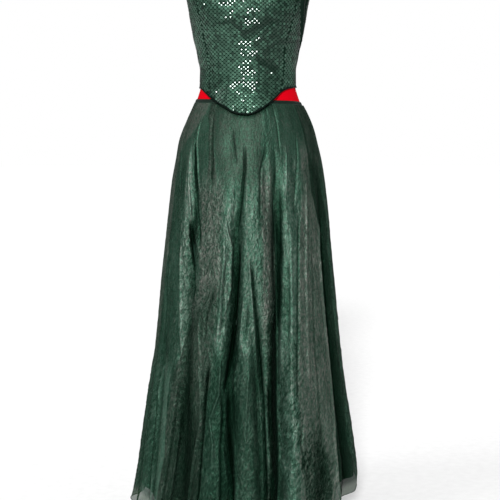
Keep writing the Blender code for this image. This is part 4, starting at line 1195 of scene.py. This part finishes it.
def sequin_mesh(name, centres, normals, tint_and_shade, seed):
    """Sequins with a flat middle and a sloped rim, each tipped a little its own way."""
    draw = np.random.default_rng(seed)
    count = len(centres)
    normals, caught = faced_normals(centres, normals, draw)
    rise = np.where(caught, SEQUIN_LIT_RISE, SEQUIN_RISE)[..., None]
    side = unit(np.cross(UP, normals))
    up = np.cross(normals, side)
    most = 2.5 * SEQUIN_TILT
    tilt = np.clip(draw.normal(0.0, SEQUIN_TILT, (count, 2)), -most, most)
    tilt = tilt * np.where(caught, SEQUIN_LIT_LOOSENESS, 1.0)
    face = unit(normals + side * tilt[:, :1] + up * tilt[:, 1:])
    side = unit(np.cross(up, face))
    up = np.cross(face, side)
    shift = draw.normal(0.0, SEQUIN_JITTER, (count, 2))
    middle = (centres + side * shift[:, :1] + up * shift[:, 1:])[:, None]
    turns = draw.uniform(0.0, math.tau, count)[:, None] + np.arange(SEQUIN_SIDES) * math.tau / SEQUIN_SIDES
    ring = np.cos(turns)[..., None] * side[:, None] + np.sin(turns)[..., None] * up[:, None]
    radius = SEQUIN_RADIUS * draw.uniform(0.96, 1.03, count)
    outer = middle + ring * radius[:, None, None] - face[:, None] * rise
    points = np.concatenate((outer, middle + ring * SEQUIN_FLAT, middle + ring * SEQUIN_HUB), axis=1)
    here = np.arange(SEQUIN_SIDES)
    beside = (here + 1) % SEQUIN_SIDES
    rim = np.stack((here, beside, beside + SEQUIN_SIDES, here + SEQUIN_SIDES), axis=-1)
    rim = np.concatenate((rim, rim + SEQUIN_SIDES))
    start = (np.arange(count) * 3 * SEQUIN_SIDES)[:, None]
    rims = (rim[None] + start[..., None]).reshape(-1, 4)
    hubs = here[None] + 2 * SEQUIN_SIDES + start
    mesh = make_mesh(name, points, rims.tolist() + hubs.tolist(), False)
    colours = np.clip(tint_and_shade + draw.normal(0.0, 0.22, count), 0.0, 1.0)
    add_values(mesh, "tint_and_shade", np.repeat(colours, 3 * SEQUIN_SIDES))
    kinds = np.repeat((0, 1), (len(rims), len(hubs)))
    mesh.polygons.foreach_set("material_index", kinds)
    return mesh


def panel_sequins(surface, edges, grain, bare):
    """Sequin centres and outward directions over a bodice panel, in a slanted square lattice."""
    along = path_length(surface(np.full(PANEL_HEIGHTS.size, grain), PANEL_HEIGHTS))
    rows = int(along[-1] / SEQUIN_ROW)
    levels = np.interp(np.arange(rows) * SEQUIN_ROW, along, PANEL_HEIGHTS)
    reach = np.linspace(grain - PANEL_REACH, grain + PANEL_REACH, 700)
    across = path_length(surface(reach[None, :], levels[:, None]), 1)
    found = []
    for row, z in enumerate(levels):
        middle = np.interp(grain, reach, across[row])
        low, high = (np.interp(edge(np.array([z]))[0], reach, across[row]) for edge in edges)
        shift = (row % 2) * SEQUIN_SPACING / 2
        first = math.ceil((low + bare[0] - middle - shift) / SEQUIN_SPACING)
        last = math.floor((high - bare[1] - middle - shift) / SEQUIN_SPACING)
        places = middle + shift + np.arange(first, last + 1) * SEQUIN_SPACING
        turn = np.interp(places, across[row], reach)
        keep = (z > bodice_hem(turn) + SEQUIN_EDGE) & (z < bodice_top(turn) - SEQUIN_EDGE)
        found += [(angle, z) for angle in turn[keep]]
    angle, z = np.array(found).T
    return surface(angle, z), normal_at(surface, angle, z)


def sampled(grid, row, column):
    """Points between a grid's points, at fractions of its rows and columns."""
    low, left = (np.clip(np.floor(place).astype(int), 0, size - 2)
                 for place, size in zip((row, column), grid.shape))
    up = (row - low)[:, None]
    right = (column - left)[:, None]
    lower, upper = (grid[line, left] * (1 - right) + grid[line, left + 1] * right for line in (low, low + 1))
    return lower * (1 - up) + upper * up


def inside_form(point):
    """Says which points are inside the dress form, without its bust."""
    x, y, z = np.moveaxis(point, -1, 0)
    depth = np.where(y < 0, FORM["front"](z), FORM["back"](z))
    return (x / FORM["half_width"](z)) ** 2 + (y / depth) ** 2 < 1.0


def strap_grid(side, height):
    """Points of a shoulder strap at a height over the inside of its wall, from the front to the back."""
    offset = BODICE_CLEARANCE + height
    surface = over_form(offset + STRAP_EASE)
    column = np.linspace(0.0, 1.0, STRAP_GRID[1] + 1)
    front, back = (
        surface(start + column * (end - start), np.full(column.size, STRAP_END_Z))
        for start, end in (STRAP_FRONT, STRAP_BACK)
    )
    shoulder_x = STRAP_SHOULDER_X[0] + column * (STRAP_SHOULDER_X[1] - STRAP_SHOULDER_X[0])
    first, last = (np.arctan2(end[:, 2] - STRAP_CENTRE_Z, end[:, 1]) for end in (front, back))
    share = np.linspace(0.0, 1.0, STRAP_GRID[0] + 1)[:, None]
    tilt = first + share * (last - first)
    start_x = np.where(share < 0.5, front[:, 0], back[:, 0])
    x = start_x + smooth_step(2.0 * np.minimum(share, 1.0 - share)) * (shoulder_x - start_x)
    ray = np.stack((np.zeros_like(tilt), np.cos(tilt), np.sin(tilt)), axis=-1)
    origin = np.stack((x, np.zeros_like(x), np.full_like(x, STRAP_CENTRE_Z)), axis=-1)
    near = np.zeros_like(x)
    far = np.full_like(x, 0.2)
    for _ in range(30):
        reach = (near + far) / 2
        inside = inside_form(origin + ray * reach[..., None])
        near = np.where(inside, reach, near)
        far = np.where(inside, far, reach)
    grid = origin + ray * (near + offset + STRAP_EASE)[..., None]
    grid[..., 0] *= side
    return grid


def strap_sequins(grid):
    """Sequin centres and outward directions over a strap."""
    rows, columns = grid.shape[:2]
    along = path_length(grid[:, columns // 2])
    widths = np.sum(np.linalg.norm(np.diff(grid, axis=1), axis=-1), axis=1)
    found = []
    for row in range(int((along[-1] - SEQUIN_EDGE) / SEQUIN_ROW)):
        place = np.interp(row * SEQUIN_ROW + SEQUIN_EDGE, along, np.arange(rows))
        width = np.interp(place, np.arange(rows), widths)
        most = int(width / SEQUIN_SPACING) + 1
        offsets = np.arange(-most, most + 1) * SEQUIN_SPACING + (row % 2) * SEQUIN_SPACING / 2
        for offset in offsets[np.abs(offsets) < width / 2 - SEQUIN_EDGE]:
            found.append((place, (0.5 + offset / width) * (columns - 1)))
    row, column = np.array(found).T
    centres = sampled(grid, row, column)
    normals = unit(sampled(grid_normals(grid), row, column))
    outward = np.sum(normals * (centres - UP * STRAP_CENTRE_Z), axis=-1, keepdims=True)
    return centres, normals * np.sign(outward)


def sequin_tint(points):
    """Slow random change of colour over the sequins, with painted shade in the drag folds and at the upper
    left.
    """
    turn = np.degrees(np.arctan2(points[:, 0], -points[:, 1]))
    z = points[:, 2]
    # Painted shade: darker at the upper left and in the drag folds.
    painted_side_shade = 0.20 * smooth_step((turn - 6.0) / 12.0) * smooth_step((z - 1.15) / 0.06)
    painted_fold_shade = 0.75 * np.clip(drag_fold(turn, z) / 0.0022, 0.0, 1.0)
    return 0.46 + 0.16 * soft_noise(turn, z, *NOISES["sequin_tint"]) - painted_side_shade - painted_fold_shade


def add_sequinned(name, mesh, centres, normals, seed):
    """A panel's cloth, and the sequins sewn on it with their thread."""
    cloth = add_piece(name + "_cloth", mesh, SEQUIN_GROUND, (name,))
    mesh = sequin_mesh(name, centres, normals, sequin_tint(centres), seed)
    sequins = add_piece(name + "_sequins", mesh, SEQUIN_FILM)
    mesh.materials.append(THREAD)


PANEL_ROWS = 72
PANEL_SEED = 100
STRAP_SEED = 110


def make_bodice():
    """Sequinned panels with their seams, and the straps."""
    outer = bodice_layer(CLOTH_OUT)
    inner = bodice_layer(CLOTH_IN)
    sewn = bodice_layer(SEQUIN_OUT)
    zip_front = moved_edge(SEAMS["side_left"], outer, -ZIP_WIDTH / 2)
    zip_back = moved_edge(SEAMS["side_left"], outer, ZIP_WIDTH / 2)
    panels = (
        ("bodice_front", SEAMS["princess_right"], SEAMS["princess_left"], 0.0, 60),
        ("bodice_side_left", SEAMS["princess_left"], zip_front, 66.0, 22),
        ("bodice_side_right", SEAMS["side_right"], SEAMS["princess_right"], -74.0, 22),
        ("bodice_back", zip_back, lambda z: SEAMS["side_right"](z) + 360.0, 180.0, 66),
    )
    for number, (name, start, end, grain, columns) in enumerate(panels):
        edges = seam_edges(start, end, outer)
        angle, z = lay_out(edges, bodice_hem, bodice_top, columns, PANEL_ROWS)
        bare_start = ZIP_BARE_BACK if start is zip_back else SEAM_BARE
        bare_end = ZIP_BARE_FRONT if end is zip_front else SEAM_BARE
        sequins = panel_sequins(sewn, edges, grain, (bare_start, bare_end))
        mesh = wall_mesh(name, outer(angle, z), inner(angle, z))
        add_sequinned(name, mesh, *sequins, PANEL_SEED + number)
    for number, (name, side) in enumerate((("bodice_strap_left", 1), ("bodice_strap_right", -1))):
        mesh = wall_mesh(name, strap_grid(side, CLOTH_OUT), strap_grid(side, CLOTH_IN))
        add_sequinned(name, mesh, *strap_sequins(strap_grid(side, SEQUIN_OUT)), STRAP_SEED + number)


ZIP_FOOT_Z = 1.10
ZIP_HEAD_Z = 1.35
STITCH_RISE = 0.0004


def zip_angle(surface, side, z):
    """Angle of the zip's front edge (-1) or back edge (1) at a height."""
    edge = moved_edge(SEAMS["side_left"], surface, side * ZIP_WIDTH / 2)
    return float(edge(np.array([z]))[0])


def make_bindings():
    """Narrow bound edges of the bodice, and the stitches that hold them."""
    surface = bodice_layer(BINDING_OUT)
    # An edge, how far its binding is lifted over it and the stitches over that, and the binding's radius.
    upper = (bodice_top, -0.0008, -0.0026, 0.0014)
    # The lower binding is wider and, like all bindings here, nearly black, so that it also stands for the
    # shadow under the bodice's hem.
    lower = (bodice_hem, 0.0006, 0.0032, 0.0020)
    runs = (
        (zip_angle(surface, 1, ZIP_FOOT_Z), zip_angle(surface, -1, ZIP_FOOT_Z) + 360.0, 420, lower),
        (-34.0, 34.0, 90, upper),
        (146.0, 214.0, 90, upper),
        (46.0, zip_angle(surface, -1, ZIP_HEAD_Z), 60, upper),
        (zip_angle(surface, 1, ZIP_HEAD_Z), 132.0, 90, upper),
        (-132.0, -46.0, 120, upper),
    )
    tubes = []
    threads = []
    for first, last, count, (line, lift, away, radius) in runs:
        angle = np.linspace(first, last, count)
        bound, sewn = line(angle) + lift, line(angle) + (lift + away)
        tubes.append(tube_points(surface(angle, bound), radius, 8, normal_at(surface, angle, bound)))
        outward = normal_at(surface, angle, sewn)
        threads += stitch_tubes(surface(angle, sewn) + outward * STITCH_RISE, outward)
    for side in (1, -1):
        grid = strap_grid(side, CLOTH_OUT)
        outward = unit(grid - np.array([side * 0.08, 0.0, STRAP_CENTRE_Z]))
        tubes += [tube_points(grid[:, column], upper[3], 8, outward[:, column]) for column in (0, -1)]
    add_piece("bodice_bindings", tube_mesh("bindings", tubes), BINDING_PAINTED_SHADOW)
    add_piece("bodice_binding_stitches", tube_mesh("binding_stitches", threads), THREAD)


TAPE_TUCK = 0.0005
TOOTH_SPACING = 0.0016
TOOTH_ASIDE = 0.00095
TOOTH_RADIUS = 0.00048
TEETH_BOTTOM_Z = 1.1075
TEETH_SHORTER = 0.002


def make_zip():
    """Zip tape under the side seam's edges, with its two rows of teeth."""
    seam = SEAMS["side_left"]
    tape = over_form(BODICE_CLEARANCE + TAPE_OUT)
    under = over_form(BODICE_CLEARANCE + TAPE_IN)
    edges = [moved_edge(seam, tape, side * (ZIP_WIDTH / 2 + TAPE_TUCK)) for side in (-1, 1)]
    angle, z = lay_out(edges, bodice_hem, always(ZIP_TOP_Z), 6, 120)
    mesh = wall_mesh("zip_tape", tape(angle, z), under(angle, z))
    cloth = add_piece("bodice_zip_tape_cloth", mesh, TAPE, ("bodice_zip_tape",))
    teeth = []
    for side in (-1, 1):
        shift = TOOTH_SPACING / 2 if side > 0 else 0.0
        z = np.arange(TEETH_BOTTOM_Z, ZIP_TOP_Z - TEETH_SHORTER, TOOTH_SPACING) + shift
        angle = moved_edge(seam, tape, side * TOOTH_ASIDE)(z)
        out = normal_at(tape, angle, z)
        up = unit(UP - out * out[:, 2:])
        for point, x, n in zip(tape(angle, z), np.cross(up, out), out):
            line = point[None] + x[None] * np.array([-0.0011, -0.0004, 0.0004, 0.0011])[:, None] * side
            line = line + n[None] * np.array([-0.0001, 0.0001, 0.0001, -0.0001])[:, None]
            teeth.append(tube_points(line, TOOTH_RADIUS, 6, np.repeat(n[None], 4, axis=0)))
    add_piece("bodice_zip_teeth", tube_mesh("zip_teeth", teeth), TEETH)


BAND_SWELL = 0.0005
BAND_RIB = 0.0001
BAND_RIBS = 120
ZIGZAGS = 230
ZIGZAG_DROP = 0.0036
ZIGZAG_HALF = 0.0014
ZIGZAG_OUT = 0.0019


def make_waistband():
    """Ribbed elastic band, its lower edge under the skirt's gathered top, with a zigzag seam."""
    angle = np.linspace(-180.0, 180.0, 241)[None, :-1]
    share = np.linspace(0.0, 1.0, 9)[:, None]
    z = band_top(angle) - BAND_HEIGHT - BAND_TUCK + share * (BAND_HEIGHT + BAND_TUCK)
    ribs = BAND_RIB * np.cos(np.radians(angle) * BAND_RIBS)
    swell = BAND_SWELL * np.sin(share * math.pi) ** 0.6 + ribs
    inner = over_form(BAND_CLEARANCE)(angle, z)
    outer = over_form((BAND_CLEARANCE + BAND_WALL + swell)[..., None])(angle, z)
    mesh = wall_mesh("waistband", outer, inner, True)
    band = add_piece("skirt_waistband_elastic", mesh, ELASTIC, ("skirt_waistband",))
    turn = np.linspace(-180.0, 180.0, 2 * ZIGZAGS + 1)
    way = np.where(np.arange(turn.size) % 2 == 0, 1.0, -1.0)
    height = band_top(turn) - ZIGZAG_DROP + ZIGZAG_HALF * way
    path = over_form(BAND_CLEARANCE + ZIGZAG_OUT)(turn, height)
    mesh = tube_mesh("zigzag", [tube_points(path, STITCH_RADIUS, 4, normal_at(form_surface, turn, height))])
    add_piece("skirt_waistband_stitches", mesh, THREAD)


GORE_ROWS = 320
SHEER_FADE = 0.02
ROLL_RADIUS = 0.0009
ROLL_RISE = 0.0004
GATHER_RADIUS = 0.0008
GORE_SEAM_RADIUS = 0.0007
GORE_SEAM_SET_BACK = 0.0003


def make_gores():
    """Six organza gores with their seams and rolled hem."""
    left, right = GORES["front_left"], GORES["front_right"]
    side_left, side_right = always(SIDE_SEAM_LEFT), always(SIDE_SEAM_RIGHT)
    gores = (
        ("skirt_front", right, left, 96),
        ("skirt_side_front_left", left, side_left, 168),
        ("skirt_side_front_right", side_right, right, 156),
        ("skirt_side_back_left", side_left, always(BACK_SEAM_LEFT), 112),
        ("skirt_side_back_right", always(BACK_SEAM_RIGHT), side_right, 112),
        ("skirt_back", always(BACK_SEAM_LEFT), always(BACK_SEAM_RIGHT + 360.0), 140),
    )
    for name, start, end, columns in gores:
        edges = seam_edges(start, end, organza_outer)
        angle, z = lay_out(edges, organza_hem, skirt_top, columns, GORE_ROWS)
        grid = organza_cloth(angle, z)
        mesh = make_mesh(name, grid, grid_quads(*grid.shape[:2]))
        add_cloth_place(mesh, grid)
        sheer = smooth_step((lining_hem(angle) - z) / SHEER_FADE)
        looks = (*cloth_zone(angle, z), sheer, leaning_share(angle, z))
        for key, values in zip(("taupe", "painted_shading", "crush", "sheer", "lean"), looks):
            add_values(mesh, key, values)
        cloth = add_piece(name + "_cloth", mesh, ORGANZA, (name,))
        normals = grid_normals(grid)
        roll = tube_points(grid[0] + UP * ROLL_RISE, ROLL_RADIUS, 5)
        top = tube_points(grid[-1], GATHER_RADIUS, 6, normals[-1])
        line, out = grid[::2, 0], normals[::2, 0]
        seam = tube_points(line - out * GORE_SEAM_SET_BACK, GORE_SEAM_RADIUS, 6, out)
        trim = add_piece(name + "_hem_and_seam", tube_mesh(name, [roll, top, seam]), ROLLED)


LINING_GRID = (150, 110)
LINING_HEM_RADIUS = 0.0010
LINING_HEM_RISE = 0.0006


def make_lining():
    """Both halves of the lining, with their turned hems."""
    halves = (("skirt_lining_front", SIDE_SEAM_RIGHT), ("skirt_lining_back", SIDE_SEAM_LEFT))
    for name, first in halves:
        edges = seam_edges(always(first), always(first + 180.0), lining_outer)
        grid = lining_cloth(*lay_out(edges, lining_hem, skirt_top, *LINING_GRID))
        mesh = make_mesh(name, grid, grid_quads(*grid.shape[:2]))
        add_cloth_place(mesh, grid)
        cloth = add_piece(name + "_cloth", mesh, LINING, (name,))
        hem = tube_points(grid[0] + UP * LINING_HEM_RISE, LINING_HEM_RADIUS, 6, grid_normals(grid)[0])
        trim = add_piece(name + "_hem", tube_mesh(name, [hem]), LINING_HEM)


COVER_SEAMS = (0.0, 98.0, 180.0, -98.0)
COVER_SEAM_RADIUS = 0.0006


def make_form():
    """Red jersey cover of the dress form with its seams."""
    angle = np.linspace(-180.0, 180.0, 145)[None, :-1]
    heights = np.linspace(FORM_BOTTOM_Z, FORM_TOP_Z, 110)[:, None]
    grid = form_surface(angle, heights)
    rows, columns = grid.shape[:2]
    faces = grid_quads(rows, columns, True).tolist()
    faces.append(list(range(columns))[::-1])
    faces.append([(rows - 1) * columns + index for index in range(columns)])
    mesh = make_mesh("torso", grid, faces)
    mesh.set_sharp_from_angle(angle=math.radians(50.0))
    add_cloth_place(mesh, grid)
    add_piece("form_torso_cover", mesh, JERSEY, ("form_torso",))
    z = np.linspace(FORM_BOTTOM_Z + 0.002, FORM_TOP_Z - 0.001, 140)
    seams = []
    for turn in COVER_SEAMS:
        out = normal_at(form_surface, turn, z)
        seams.append(tube_points(form_surface(turn, z), COVER_SEAM_RADIUS, 6, out))
    add_piece("form_cover_seams", tube_mesh("cover_seams", seams), JERSEY_SEAM)


def repaint():
    """Finishes of the solids that stay as they are."""
    finishes = {
        "bodice_zip_slider": ZIP_METAL,
        "bodice_zip_pull": ZIP_METAL,
        "form_neck_cap": WOOD,
        "form_pole": STAND,
        "form_foot": STAND,
    }
    for name, finish in finishes.items():
        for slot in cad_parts[name].material_slots:
            slot.material = finish


FLOOR_REACH = 30.0
FLOOR_DROP = 0.0005


def make_stage():
    """Plain pale floor."""
    corners = [(-FLOOR_REACH, -FLOOR_REACH, 0), (FLOOR_REACH, -FLOOR_REACH, 0)]
    corners += [(-x, -y, 0) for x, y, _ in corners]
    mesh = make_mesh("floor", corners, [(0, 1, 2, 3)], False)
    floor = link(bpy.data.objects.new("floor", mesh))
    floor.location.z = -FLOOR_DROP
    n = Nodes("floor_paper", (0.9, 0.9, 0.9))
    grain = n.noise(n.own(), 40.0, 4.0)
    n.set(Base_Color=n.mix(n.span(grain, 0.0, 1.0), (0.88, 0.88, 0.88), (0.93, 0.93, 0.93)))
    n.set(Roughness=0.9, Specular_IOR_Level=0.1)
    mesh.materials.append(n.material)


# Lights: name, azimuth and elevation, strength, and how wide they look in degrees.
SUNS = (
    ("key", KEY_LIGHT, 3.2, 8.0),
    ("side", (-60.0, 36.0), 0.6, 24.0),
    ("back", BACK_LIGHT, 1.6, 24.0),
)
ROOM_LIGHT = 0.25
BACKDROP_LIGHT = 1.0


def make_light():
    """Three wide, distant lights in a white room, whose walls look brighter than they shine."""
    for name, place, strength, size in SUNS:
        data = bpy.data.lights.new(name, "SUN")
        data.energy = strength
        data.angle = math.radians(size)
        light = link(bpy.data.objects.new(name, data))
        away = Vector(toward(*place))
        light.rotation_euler = away.to_track_quat("Z", "Y").to_euler()
        light.location = away * 5.0
    world = bpy.data.worlds.new("studio")
    bpy.context.scene.world = world
    world.use_nodes = True
    tree = world.node_tree
    tree.nodes.clear()
    kinds = ("LightPath", "MixShader", "OutputWorld")
    path, pick, out = (tree.nodes.new("ShaderNode" + kind) for kind in kinds)
    for socket, strength in ((1, ROOM_LIGHT), (2, BACKDROP_LIGHT)):
        shine = tree.nodes.new("ShaderNodeBackground")
        shine.inputs["Color"].default_value = (1.0, 1.0, 1.0, 1.0)
        shine.inputs["Strength"].default_value = strength
        tree.links.new(shine.outputs[0], pick.inputs[socket])
    tree.links.new(path.outputs["Is Camera Ray"], pick.inputs["Fac"])
    tree.links.new(pick.outputs[0], out.inputs["Surface"])


CAMERA_PLACE = Vector((0.005, -3.2, 1.0))
CAMERA_AIM = Vector((0.005, 0.0, 0.69))


def make_camera():
    """Camera straight in front, a little above the middle."""
    data = bpy.data.cameras.new("camera")
    data.lens = 90.0
    data.sensor_width = 36.0
    data.clip_end = 200.0
    camera = link(bpy.data.objects.new("camera", data))
    camera.location = CAMERA_PLACE
    camera.rotation_euler = (CAMERA_AIM - CAMERA_PLACE).to_track_quat("-Z", "Y").to_euler()
    bpy.context.scene.camera = camera


ORGANZA = make_organza_material()
SEQUIN_GROUND = make_cloth_material("sequin_ground", (0.006, 0.019, 0.012), 0.75, 700.0, 0.01, 0.25, 0.0)
SEQUIN_FILM = make_sequin_material()
THREAD = make_cloth_material("thread", (0.008, 0.024, 0.015), 0.55, 900.0, 0.05, 0.10)
# Nearly black binding satin, partly a painted shadow under the bodice's hem.
BINDING_PAINTED_SHADOW = make_cloth_material("binding_satin_painted_shadow", (0.002, 0.007, 0.005), 0.50, 800.0, 0.01, 0.12, 0.05)
LINING = make_cloth_material("lining_satin", (0.008, 0.026, 0.017), 0.50, 900.0, 0.01, 0.10, 0.10)
LINING_HEM = make_cloth_material("lining_hem", (0.008, 0.024, 0.016), 0.55, 900.0, 0.03, 0.10)
ROLLED = make_cloth_material("rolled_hem", (0.018, 0.042, 0.029), 0.50, 900.0, 0.02, 0.15, 0.05)
TAPE = make_cloth_material("zip_tape_weave", (0.005, 0.014, 0.010), 0.70, 500.0, 0.01, 0.30, 0.0)
ELASTIC = make_cloth_material("elastic_rib", (0.006, 0.016, 0.011), 0.80, 320.0, 0.03, 0.60)
JERSEY = make_cloth_material("jersey_red", (0.68, 0.0, 0.008), 0.92, 420.0, 0.0, 0.25, 0.04, 0.04)
JERSEY_SEAM = make_cloth_material("jersey_seam", (0.46, 0.0, 0.006), 0.92, 420.0, 0.0, 0.25, 0.04, 0.04)
TEETH = make_metal_material("zip_teeth", (0.010, 0.024, 0.017), 0.45, 0.0, (900.0, 900.0, 900.0), 0.05)
ZIP_METAL = make_metal_material("zip_metal", (0.14, 0.16, 0.15), 0.32, 1.0, (300.0, 300.0, 2500.0), 0.10)
STAND = make_metal_material("stand_paint", (0.022, 0.022, 0.024), 0.42, 0.3, (700.0, 700.0, 700.0), 0.25)
WOOD = make_wood_material()

make_camera()
make_light()
make_stage()
make_form()
make_bodice()
make_bindings()
make_zip()
make_waistband()
make_gores()
make_lining()
repaint()

scene = bpy.context.scene
scene.view_settings.view_transform = "Standard"
scene.view_settings.look = "None"
